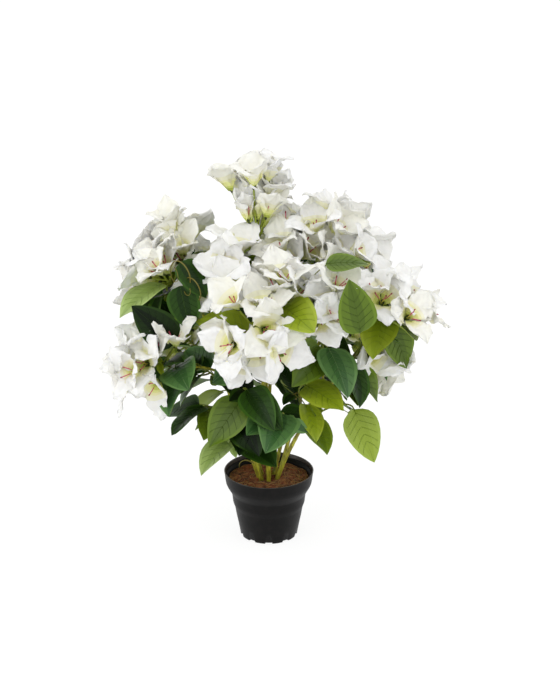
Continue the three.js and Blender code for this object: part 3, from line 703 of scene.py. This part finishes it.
def bract_grid(flower, turn, closing, draws):
    """The inner face of one bract, from the throat to its tip. closing is how far the whole flower
    is from open, in degrees."""
    side, other = cross_axes(flower.axis)
    share, across = np.meshgrid(BRACT_ROWS, BRACT_COLUMNS, indexing="ij")
    length = flower.length * draws.uniform(*BRACT_STRETCH)
    leaving = BRACT_OPENING - BRACT_STEEPENING + radians(draws.uniform(*BRACT_SWAY) - closing)
    flare = BRACT_FLARE * draws.uniform(0.7, 1.25)
    rows = BRACT_ROWS[:, None]
    slope = leaving + flare * BRACT_ROWS ** 1.5
    steps = np.diff(BRACT_ROWS, prepend=0) * length
    middle_slope = (slope + np.concatenate([slope[:1], slope[:-1]])) / 2
    reach = (THROAT_RADIUS + np.cumsum(steps * np.sin(middle_slope)))[:, None]
    height = np.cumsum(steps * np.cos(middle_slope))[:, None]
    slope = slope[:, None]
    half = BRACT_FULLNESS * BRACT_WIDTH * length / BRACT_LENGTH / 2 * outline(share, BRACT_OUTLINE)
    bow = 4 + reach * (1.2 + 2.4 * share ** 2)
    ragged = across.copy()
    is_ragged = rows > RAGGED_FROM
    teeth = np.where(np.arange(len(BRACT_ROWS)) % 2 == 0, -1, 1)[:, None] * draws.uniform(0.01, 0.07)
    lobes = 0.1 * zigzag(4.3 * rows + draws.uniform(0, 1, 2))
    ragged[:, [0, -1]] *= 1 + (teeth + lobes) * is_ragged
    ragged[:, [1, -2]] *= 1 + 0.6 * lobes * is_ragged
    angle = ragged * np.minimum(half / bow, 1.5)
    lateral = bow * np.sin(angle)
    radial = reach - bow * (1 - np.cos(angle))
    phase = draws.uniform(0, 1, 6)
    edge = np.abs(across) ** 1.8
    hand = np.where(across < 0, 0, 1)
    curl = np.where(across < 0, *draws.uniform(-2, 4, 2)) * edge * share
    ruffle = draws.uniform(0.9, 2) * np.sin(TURN * (2.2 * share + phase[0] + 0.4 * hand)) * edge
    frill = draws.uniform(0.7, 1.5) * zigzag(4.6 * share + phase[4] - 0.3 * hand) * edge
    crease = -1.3 * np.exp(-(across / 0.16) ** 2) * np.sin(pi * share) + 1.1 * across
    folds = sum(size * zigzag(along * share + over * across + phase[number])
                for size, along, over, number in FOLDS)
    crumple = draws.normal(0, CRUMPLE, share.shape)
    tip = draws.uniform(-5, 8) * np.maximum(share - 0.7, 0) ** 2 * 9
    spread = np.minimum(share * 2, 1)
    out = curl + (ruffle + frill + folds + crumple) * spread + crease + tip
    radial = radial + out * np.cos(slope)
    height = height - out * np.sin(slope)
    lateral = lateral + 1.4 * np.sin(TURN * (share + phase[3])) * share
    outward = side * cos(turn) + other * sin(turn)
    level = np.cross(flower.axis, outward)
    return (flower.head + radial[..., None] * outward + lateral[..., None] * level
            + height[..., None] * flower.axis)


def add_bracts(bracts, flower, closed, draws):
    """The three bracts of a flower. closed is how much steeper its spray's stand, in degrees."""
    body = "ivory" if draws.random() < 0.35 else "white"
    closing = closed + draws.uniform(*FLOWER_SWAY)
    middles = np.repeat((BRACT_ROWS[:-1] + BRACT_ROWS[1:]) / 2, len(BRACT_COLUMNS) - 1)
    for turn in flower.turns():
        points, faces = shell(bract_grid(flower, turn, closing, draws), BRACT_THICKNESS)
        shift = draws.uniform(-0.05, 0.03)
        zones = [band(middle + shift, bands, body)
                 for bands in (INSIDE_BANDS, OUTSIDE_BANDS) for middle in middles]
        bracts.add(points, faces, zones)


def add_stamens(stamens, flower, draws):
    """Two or three long filaments with dark ends."""
    for number in range(draws.integers(2, 4)):
        turn = degrees(flower.turns()[number] + draws.uniform(-0.5, 0.5))
        start = flower.head + flower.axis * 1.5
        leaving = splay(flower.axis, 6, turn)
        end = start + splay(flower.axis, draws.uniform(12, 30), turn) * draws.uniform(17, 25)
        path = Curve(start, start + leaving * 7, end - leaving * 5, end)
        for low, high, radius, zone in ((0, 0.4, 0.45, "filament_foot"), (0.4, 0.84, 0.65, "filament")):
            stamens.add(*tube(path.point(np.linspace(low, high, 4)), radius, 5), zone)
        swell = np.array([0.5, 0.85, 0.95, 0.75, 0.3])
        stamens.add(*tube(path.point(np.linspace(0.8, 1, 5)), swell, 5), "anther")


# The rings of the cup under the bracts: radius, and height at its points and between them.
CALYX_SIDES = 10
CALYX_RINGS = ((1.0, -4.0, -4.0), (2.0, -1.5, -1.5), (2.9, 1.5, 1.5), (3.6, 6.5, 3.2), (3.0, 6.1, 2.9),
               (1.6, 1.8, 1.8))


def add_calyx(calyxes, flower):
    """A small cup under the bracts with five pointed sepals."""
    side, other = cross_axes(flower.axis)
    turns = circle(CALYX_SIDES) + flower.spin
    pointed = np.arange(CALYX_SIDES) % 2 == 0
    points = []
    for radius, high, low in CALYX_RINGS:
        heights = np.where(pointed, high, low)
        points.append(flower.head + heights[:, None] * flower.axis
                      + radius * np.cos(turns)[:, None] * side + radius * np.sin(turns)[:, None] * other)
    faces = ring_faces(len(CALYX_RINGS), CALYX_SIDES)
    calyxes.add(np.concatenate(points), faces, ["calyx"] * (len(faces) - 1) + ["throat"])


def add_pedicel(stalks, flower, face):
    """The stalk of a flower, which bends into the flower's own axis."""
    reach = np.linalg.norm(flower.head - flower.root)
    leaving = unit(flower.stalk + 0.6 * face)
    curve = Curve(flower.root, flower.root + leaving * reach * 0.4,
                  flower.head - flower.axis * (2 + reach * 0.25), flower.head - flower.axis * 2)
    stalks.add(*tube(curve.point(np.linspace(0, 1, 8)), np.linspace(1.0, 1.15, 8), 6), "pedicel")


# ---- growing the sprays
class Corners:
    """The corners of one CAD mass, which tell what grows in it."""

    def __init__(self, node):
        places = frame["nodes"][node].data.vertices
        self.tree = KDTree(len(places))
        for number, vertex in enumerate(places):
            self.tree.insert(vertex.co / MM, number)
        self.tree.balance()
        low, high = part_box(node)
        self.low, self.high = np.array(low) / MM, np.array(high) / MM

    def has(self, point):
        return self.tree.find(point)[2] < SAME_PLACE

    def holds(self, points):
        """Whether points are all within the mass's own box."""
        points = np.asarray(points)
        return bool((points > self.low).all() and (points < self.high).all())


@dataclass
class Twig:
    """The end of a stem, bough or side twig from its start on, with its leaves and flowers."""

    spray: Spray
    curve: Curve
    start: float
    node: str
    corners: Corners
    leaves: list
    flowers: list


def grow_collar(twig):
    random = seeded_random(twig.spray.seed)
    for share, bearing, height, roll, tint in twig.spray.collar:
        petiole = PETIOLE_LENGTH if share < 1 else END_PETIOLE_LENGTH
        length = LEAF_LENGTH * between(COLLAR_LEAF_SIZE, random)
        own_roll = roll + COLLAR_ROLL * (random() - 0.5)
        along = towards((bearing, height))
        leaf = place_leaf(twig.curve.point(share), along, petiole, length, own_roll, tint)
        if twig.corners.has(leaf.tip()):
            twig.leaves.append(leaf)
            lights.append(leaf.light())


def grow_blossom(twig):
    random = seeded_random(twig.spray.seed + FLOWER_SEED)
    for index in range(twig.spray.flowers):
        for _ in range(TRIES):
            flower = place_flower(twig.spray, twig.curve, index, random)
            if sum(twig.corners.has(tip) for tip in flower.tips()) >= 2:
                twig.flowers.append(flower)
                break


def grow_leaves(twig):
    spray, start = twig.spray, twig.start
    random = seeded_random(spray.seed + LEAF_SEED)
    tints = spray.tints.split()
    low, high = LEAFY_STRETCH
    grown = 0
    for i in range(spray.leaves * LEAF_TRIES):
        if grown == spray.leaves:
            break
        place = low + (high - low) * ((i % spray.leaves) + random()) / spray.leaves
        share = start + (1 - start) * place
        root = twig.curve.point(share)
        along = splay(twig.curve.tangent(share), LEAF_SPLAY, i * GOLDEN_ANGLE + LEAF_TURN * random())
        along = unit(along + LEAF_TO_OUTSIDE * outward_at(root) - UP * between(LEAF_DROOP, random))
        petiole = PETIOLE_LENGTH * between(PETIOLE_SIZE, random)
        length = LEAF_LENGTH * between(LEAF_SIZE, random)
        roll = LEAF_ROLL * (random() - 0.5)
        leaf = place_leaf(root, along, petiole, length, roll, tints[(i + 1) % len(tints)])
        if twig.corners.has(leaf.tip()):
            twig.leaves.append(leaf)
            grown += 1


twigs = {}
lights = []
for limbs, start, kind in ((STEMS, STEM_SPLIT, "blossom_"), (BOUGHS, BOUGH_SPLIT, "blossom_"),
                           (SIDE_TWIGS, 0, "foliage_")):
    for spray in limbs:
        curve = branch_curve(spray, twigs[spray.parent].curve) if spray.parent else stem_curve(spray)
        node = kind + spray.name
        twigs[spray.name] = Twig(spray, curve, start, node, Corners(node), [], [])
for twig in twigs.values():
    grow_collar(twig)
    grow_blossom(twig)
    grow_leaves(twig)


# ---- finer growth within the same reach
FILLER_SPACING = 18  # between the mouths of an added flower and its neighbours
FILLER_LIGHT = 38  # between its mouth and the light of a leaf that is listed one by one
FILLER_SEED = 300
FILLER_STALK = (0.4, 1.1)  # length of an added flower's stalk as a share of the spray's
SHOOTS_PER_TWIG = 2
LEAVES_PER_SHOOT = 3
BRACTEOLES_PER_HUB = 4

# Wiry tendrils: the limb and the share of it that each leaves, its bearing and height, the length of its
# run, and the radius, turns and sense of its curl.
TENDRILS = (
    ("left", 0.97, (308, -2), 66, 12, 1.4, 1), ("left", 0.93, (310, -10), 74, 10, 1.3, 1),
    ("left", 0.07, (190, 35), 12, 8, 0.4, -1),
    ("left_low", 0.8, (250, 20), 18, 4.5, 1.3, -1), ("left_middle", 0.6, (230, -10), 24, 4, 1.5, 1),
    ("front", 0.93, (200, 15), 26, 4, 0.8, -1), ("front_right", 0.5, (290, 5), 14, 4, 1.8, 1),
    ("right", 0.72, (250, -20), 22, 4.5, 1.4, -1), ("upper_left", 0.8, (280, 10), 24, 5, 1.2, 1),
    ("top", 0.85, (330, 20), 20, 4, 1.5, -1), ("back_right", 0.8, (80, -10), 26, 5, 1.4, 1),
    ("back_left", 0.75, (120, -20), 24, 4.5, 1.6, -1), ("back", 0.78, (60, 0), 24, 5, 1.3, 1),
)
TENDRIL_RADIUS = 1.3
TENDRIL_END_RADIUS = 0.4
TENDRIL_STEP = 1.5

# Small leaves near the upper heads: the limb and its share, bearing, height, the lengths of the stalk and
# of the blade, and the tint.
SMALL_LEAVES = (
    ("top", 0.9, 195, 18, 22, 24, "mid"), ("top", 0.84, 185, -8, 26, 32, "dark"),
    ("top", 0.82, 262, -22, 5, 26, "dark"), ("upper_right", 0.93, 188, 48, 16, 22, "mid"),
    ("upper_left", 0.97, 0, 30, 12, 20, "mid"), ("upper_left", 0.9, 320, 12, 14, 26, "bright"),
    ("back", 0.9, 60, 20, 18, 26, "mid"), ("back_right", 0.92, 100, 25, 16, 24, "mid"),
    ("back_left", 0.92, 90, 25, 16, 24, "olive"),
)
# Large leaves between the heads: the limb and its share, the foot of the blade, the bearings and heights
# of the blade and of its face, and its length and tint.
LARGE_LEAVES = (
    ("right_centre", 0.9, (113, -128, 332), (208, 79), (283, 8), 67, "olive"),
    ("front_high", 0.97, (71, -92, 409), (354, 10), (270, 66), 52, "olive"),
    ("lower_left", 0.9, (-115, -84, 303), (197, 45), (262, 30), 72, "night"),
    ("left", 0.9, (-109, -74, 375), (308, -72), (262, 14), 58, "dark"),
    ("left", 0.96, (-109, -66, 403), (333, -43), (285, 45), 54, "dark"),
)


def fill_blossom(twig, mouths):
    """Adds flowers between the source's own, inside the box of their mass."""
    random = seeded_random(twig.spray.seed + FILLER_SEED)
    for index in range(twig.spray.fillers):
        for _ in range(TRIES):
            place = (index + 0.5) * twig.spray.flowers / twig.spray.fillers
            spray = replace(twig.spray, pedicel=twig.spray.pedicel * between(FILLER_STALK, random))
            flower = place_flower(spray, twig.curve, place, random)
            apart = min(np.linalg.norm(flower.mouth() - mouth) for mouth in mouths)
            shade = min(np.linalg.norm(flower.mouth() - light) for light in lights)
            if apart > FILLER_SPACING and shade > FILLER_LIGHT and twig.corners.holds(flower.tips()):
                twig.flowers.append(flower)
                mouths.append(flower.mouth())
                break


def grow_shoot(twig, stalks, draws):
    """Adds a thin side shoot with a few young leaves where the mass has room."""
    share = draws.uniform(max(twig.start, 0.3), 0.92)
    root, tangent = twig.curve.point(share), twig.curve.tangent(share)
    heading = unit(splay(tangent, 52, draws.uniform(0, 360)) + 0.3 * outward_at(root))
    end = root + heading * draws.uniform(16, 34)
    if not twig.corners.holds([end]):
        return
    shoot = Curve(root, root + tangent * 6, end - heading * 8, end)
    stalks.add(*tube(shoot.point(np.linspace(0, 1, 8)), np.linspace(0.9, 0.5, 8), 6), "twig")
    tints = twig.spray.tints.split()
    for number in range(LEAVES_PER_SHOOT):
        along = unit(splay(heading, 48, 180 * number + draws.uniform(-40, 40)) - 0.3 * UP)
        place = shoot.point(1 - 0.28 * number)
        leaf = place_leaf(place, along, draws.uniform(2, 5), draws.uniform(18, 36),
                          draws.uniform(-0.5, 0.5), tints[number % len(tints)])
        if twig.corners.holds([leaf.tip(), leaf.foot]):
            twig.leaves.append(leaf)


def grow_bracteoles(twig, draws):
    """Adds the tiny leaves at the hub that the flower stalks spread from."""
    for number in range(BRACTEOLES_PER_HUB):
        along = splay(towards(twig.spray.face), draws.uniform(55, 100), 90 * number + draws.uniform(0, 60))
        root = twig.curve.point(1 - draws.uniform(0, 8) / twig.curve.length)
        twig.leaves.append(place_leaf(root, along, 1.5, draws.uniform(9, 15), 0, "bright"))


def tendril_path(start, heading, run, radius, turns, sense):
    """The points of a tendril, which bends more and more and ends in a curl."""
    lift = unit(UP - heading * heading[2])
    drift = np.cross(heading, lift)
    total = run + turns * TURN * radius
    steps = int(total / TENDRIL_STEP)
    travelled = np.linspace(0, total, steps)
    tightness = 1 / (1 + np.exp(-(travelled - run) / (0.12 * total)))
    angle = np.cumsum(tightness) * (total / steps) / radius * sense
    sway = 0.35 * np.sin(travelled / 11)
    moves = (np.cos(angle)[:, None] * heading + np.sin(angle)[:, None] * lift
             + (0.16 + sway * (1 - tightness))[:, None] * drift)
    return start + np.cumsum(moves, axis=0) * (total / steps), drift


for name, at, foot, pointing, facing, length, tint in LARGE_LEAVES:
    twig = twigs[name]
    along = towards(pointing)
    upper = towards(facing)
    upper = unit(upper - along * upper.dot(along))
    twig.leaves.append(Leaf(twig.curve.point(at), np.array(foot, float), along, upper, length, tint))
    lights.append(twig.leaves[-1].light())

mouths = [flower.mouth() for twig in twigs.values() for flower in twig.flowers]
for twig in twigs.values():
    if twig.flowers:
        fill_blossom(twig, mouths)

for name, at, bearing, height, stalk_length, length, tint in SMALL_LEAVES:
    twig = twigs[name]
    twig.leaves.append(place_leaf(twig.curve.point(at), towards((bearing, height)), stalk_length, length,
                                  0, tint))

leaf_heap = Heap()
stalk_heap = Heap()
calyx_heap = Heap()
stamen_heap = Heap()
bract_heaps = {"stems": Heap(), "boughs": Heap()}
replaced = {"stems": [], "boughs": [], "foliage": []}
for twig in twigs.values():
    spray = twig.spray
    draws = np.random.default_rng(spray.seed)
    face = towards(spray.face)
    first = STEM_TIP_RADIUS if twig.start == STEM_SPLIT else BOUGH_TIP_RADIUS
    path = twig.curve.point(np.linspace(twig.start, 1, 16))
    stalk_heap.add(*tube(path, np.linspace(first, TWIG_TIP_RADIUS, 16), 8), "twig")
    for _ in range(SHOOTS_PER_TWIG):
        grow_shoot(twig, stalk_heap, draws)
    if twig.flowers:
        grow_bracteoles(twig, draws)
    for leaf in twig.leaves:
        add_leaf(leaf_heap, stalk_heap, vary(leaf, draws))
    carrier = "boughs" if spray.parent else "stems"
    replaced[carrier if twig.flowers else "foliage"].append(twig.node)
    for flower in twig.flowers:
        add_bracts(bract_heaps[carrier], flower, spray.closed, draws)
        add_stamens(stamen_heap, flower, draws)
        add_calyx(calyx_heap, flower)
        add_pedicel(stalk_heap, flower, face)
for name, at, pointing, run, radius, loops, sense in TENDRILS:
    start = twigs[name].curve.point(at)
    path, level = tendril_path(start, towards(pointing), run, radius, loops, sense)
    radii = np.linspace(TENDRIL_RADIUS, TENDRIL_END_RADIUS, len(path))
    stalk_heap.add(*tube(path, radii, 6, level), "tendril")

for carrier, heap in bract_heaps.items():
    heap.piece("bracts_on_" + carrier, "blossom", *replaced[carrier])
leaf_heap.piece("leaves", "foliage", *replaced["foliage"])
stalk_heap.piece("twigs_and_stalks", "stem")
calyx_heap.piece("calyxes", "foliage")
stamen_heap.piece("stamens", "blossom")

# ---- stems and boughs
LIMB_STEPS = 48
LIMB_SIDES = 14
JOINT_COUNT = 5
JOINT_HEIGHT = 0.16  # as a share of the radius, like the swelling at the foot
JOINT_WIDTH = 0.012  # as a share of the limb's length
SWELL_HEIGHT = 0.22
SWELL_WIDTH = 0.03


def limb(name, twig, foot_radius, tip_radius, zone):
    """A limb with the joints, dents and streaks of moulded plastic over wire."""
    draws = np.random.default_rng(twig.spray.seed)
    share = np.linspace(0, 1, LIMB_STEPS)
    radii = foot_radius + (tip_radius - foot_radius) * share
    turns = circle(LIMB_SIDES)
    phases = draws.uniform(0, TURN, 3)
    relief = (0.05 * np.sin(3 * turns + phases[0] + 6 * share[:, None])
              + 0.04 * np.sin(5 * turns + phases[1] - 9 * share[:, None]))
    for joint in draws.uniform(0.1, 0.95, JOINT_COUNT):
        relief = relief + JOINT_HEIGHT * np.exp(-((share - joint) / JOINT_WIDTH) ** 2)[:, None]
    relief = relief + SWELL_HEIGHT * np.exp(-(share / SWELL_WIDTH))[:, None]
    heap = Heap()
    heap.add(*tube(twig.curve.point(twig.start * share), radii[:, None] * (1 + relief), LIMB_SIDES), zone)
    heap.piece("wood_" + name, "stem", name)


for stem in STEMS:
    limb("stem_" + stem.name, twigs[stem.name], STEM_FOOT_RADIUS, STEM_TIP_RADIUS, "stem_foot")
for bough in BOUGHS:
    limb("bough_" + bough.name, twigs[bough.name], BOUGH_FOOT_RADIUS, BOUGH_TIP_RADIUS, "stem")

# ---- pot and fill
# The pot's outline from its foot, up the outside, over the rim and down the inside.
POT_OUTLINE = (
    (34.8, 0), (35, 0), (38.2, 0), (38.6, 1), (39.2, 4.5), (41.5, 17), (44, 29), (45.8, 40), (46.2, 41.4),
    (48.1, 46.6), (48.5, 48.4), (49, 53), (49.9, 60.2), (50.3, 61.4), (52.6, 65.2), (56.2, 71.6),
    (57.6, 75), (58.5, 80), (59.3, 87.4), (59.9, 90.6), (60.1, 91.6), (59.7, 92.1), (58.9, 92.1),
    (58.5, 91.4), (57.8, 87), (57, 84.2), (55.6, 83.6), (54.8, 81), (48.4, 61),
)
POT_SIDES = 140
FOOT_EDGE = (1, 2, 3)  # the points that rise between the feet
NOTCH_COUNT = 10
NOTCH_HALF_WIDTH = 4.5 / 38.2
NOTCH_SLOPE = 0.035
NOTCH_HEIGHT = 3.6
RIM_HEIGHT = 91.2
FILL_RINGS = 26
FILL_SIDES = 96
FILL_RADIUS = 54.6
FILL_LEVEL = 79.5
FILL_CROWN = 1.5
FILL_WALL = ((6, 64), (1, 72))  # distance inside the edge, and height, of the rings under it
LUMP_COUNT = 14
LUMP_HEIGHT = 0.22
FIBRE_COUNT = 520
FIBRE_REACH = 52
FIBRE_ZONES = {"fibre_red": 0.45, "fibre_tan": 0.25, "fibre_dark": 0.3}


def level_ring(radius, turns, height):
    """The points of a ring about Z, at one height or at one for each turn."""
    return np.stack([radius * np.cos(turns), radius * np.sin(turns),
                     np.broadcast_to(height, len(turns))], axis=1)


def notch_lift(turns):
    """How far the edge of the pot's foot rises at each turn."""
    spacing = TURN / NOTCH_COUNT
    nearest = np.abs((turns % spacing) - spacing / 2)
    share = np.clip((NOTCH_HALF_WIDTH - nearest) / NOTCH_SLOPE, 0, 1)
    return NOTCH_HEIGHT * share * share * (3 - 2 * share)


turns = circle(POT_SIDES)
rings = []
zones = []
for number, (radius, height) in enumerate(POT_OUTLINE):
    lift = notch_lift(turns) if number in FOOT_EDGE else 0
    rings.append(level_ring(radius, turns, height + lift))
for _, height in POT_OUTLINE[:-1]:
    # Faces above the rim's height take the lighter lip colour, a painted highlight.
    zones += ["pot_rim" if height > RIM_HEIGHT else "pot"] * POT_SIDES
pot_heap = Heap()
pot_heap.add(np.concatenate(rings), ring_faces(len(rings), POT_SIDES), zones + ["pot", "pot"])
pot_heap.piece("pot_shell", "pot", "pot")

draws = np.random.default_rng(5)
waves = [(draws.uniform(-0.35, 0.35, 2), draws.uniform(0, TURN)) for _ in range(LUMP_COUNT)]


def fill_height(x, y):
    """The lumpy top of the filling, highest round the stems."""
    lumps = sum(np.sin(k[0] * x + k[1] * y + phase) for k, phase in waves)
    return FILL_LEVEL + FILL_CROWN * np.exp(-(x ** 2 + y ** 2) / 900) + LUMP_HEIGHT * lumps


turns = circle(FILL_SIDES)
rings = [level_ring(FILL_RADIUS - inset, turns, height) for inset, height in FILL_WALL]
for radius in np.linspace(FILL_RADIUS, 1, FILL_RINGS):
    rings.append(level_ring(radius, turns, fill_height(radius * np.cos(turns), radius * np.sin(turns))))
fill_heap = Heap()
fill_heap.add(np.concatenate(rings), ring_faces(len(rings), FILL_SIDES), "fill")
fill_heap.piece("fill_surface", "fill", "fill")

fibre_heap = Heap()
for _ in range(FIBRE_COUNT):
    radius = FIBRE_REACH * sqrt(draws.random())
    bearing = draws.uniform(0, TURN)
    heading = bearing + pi / 2 + draws.normal(0, 0.7)
    bend = draws.uniform(-0.12, 0.12)
    length = draws.uniform(4, 15)
    steps = np.linspace(-0.5, 0.5, 6) * length
    x = radius * cos(bearing) + steps * cos(heading) - bend * steps ** 2 * sin(heading)
    y = radius * sin(bearing) + steps * sin(heading) + bend * steps ** 2 * cos(heading)
    if np.hypot(x, y).max() > FILL_RADIUS - 1.5:
        continue
    z = fill_height(x, y) + 0.15 + draws.uniform(0, 0.6) * np.cos(steps / length * pi)
    zone = draws.choice(list(FIBRE_ZONES), p=list(FIBRE_ZONES.values()))
    fibre_heap.add(*tube(np.stack([x, y, z], axis=1), draws.uniform(0.2, 0.45), 4, UP), str(zone))
fibre_heap.piece("fill_fibres", "fill")

# ---- floor and light
FLOOR_REACH = 30
FLOOR_GLOW = 0.85
floor_mesh = bpy.data.meshes.new("floor")
corners = [(x * FLOOR_REACH, y * FLOOR_REACH, 0) for x, y in ((-1, -1), (1, -1), (1, 1), (-1, 1))]
floor_mesh.from_pydata(corners, [], [(0, 1, 2, 3)])
floor_finish = finish("floor", 0x808080, 0.9, 3, 0.0, specular=0.0)
set_inputs(floor_finish.node_tree.nodes["Principled BSDF"],
           {"Emission Color": (1, 1, 1, 1), "Emission Strength": FLOOR_GLOW})
floor_mesh.materials.append(floor_finish)
floor = add_object("floor", floor_mesh)
floor.visible_diffuse = False
floor.visible_glossy = False

world = bpy.data.worlds.new("studio")
scene.world = world
world.use_nodes = True
nodes = world.node_tree.nodes
direction = nodes.new("ShaderNodeTexCoord")
split = nodes.new("ShaderNodeSeparateXYZ")
link(direction, "Generated", split, "Vector")
rise = set_inputs(nodes.new("ShaderNodeMapRange"),
                  {"From Min": -0.6, "From Max": 0.5, "To Min": 0.92, "To Max": 0.97})
link(split, "Z", rise, "Value")
background = set_inputs(nodes["Background"], {"Color": (1, 1, 1, 1)})
link(rise, "Result", background, "Strength")

SUN_SOFTNESS = radians(35)
SUN_TILT = radians(48)  # from straight down
for name, energy, turn in (("key", 0.32, -40), ("fill_light", 0.18, 60)):
    sun = bpy.data.lights.new(name, "SUN")
    sun.energy = energy
    sun.angle = SUN_SOFTNESS
    lamp = add_object(name, sun)
    lamp.rotation_euler = (SUN_TILT, 0, radians(turn))

window = bpy.data.lights.new("window", "AREA")
window.energy = 2.5
window.size = 0.3
side_light = add_object("window", window)
side_light.location = (-1.4, -0.6, 0.1)
side_light.rotation_euler = (radians(90), 0, radians(-66))

scene.view_settings.view_transform = "Standard"
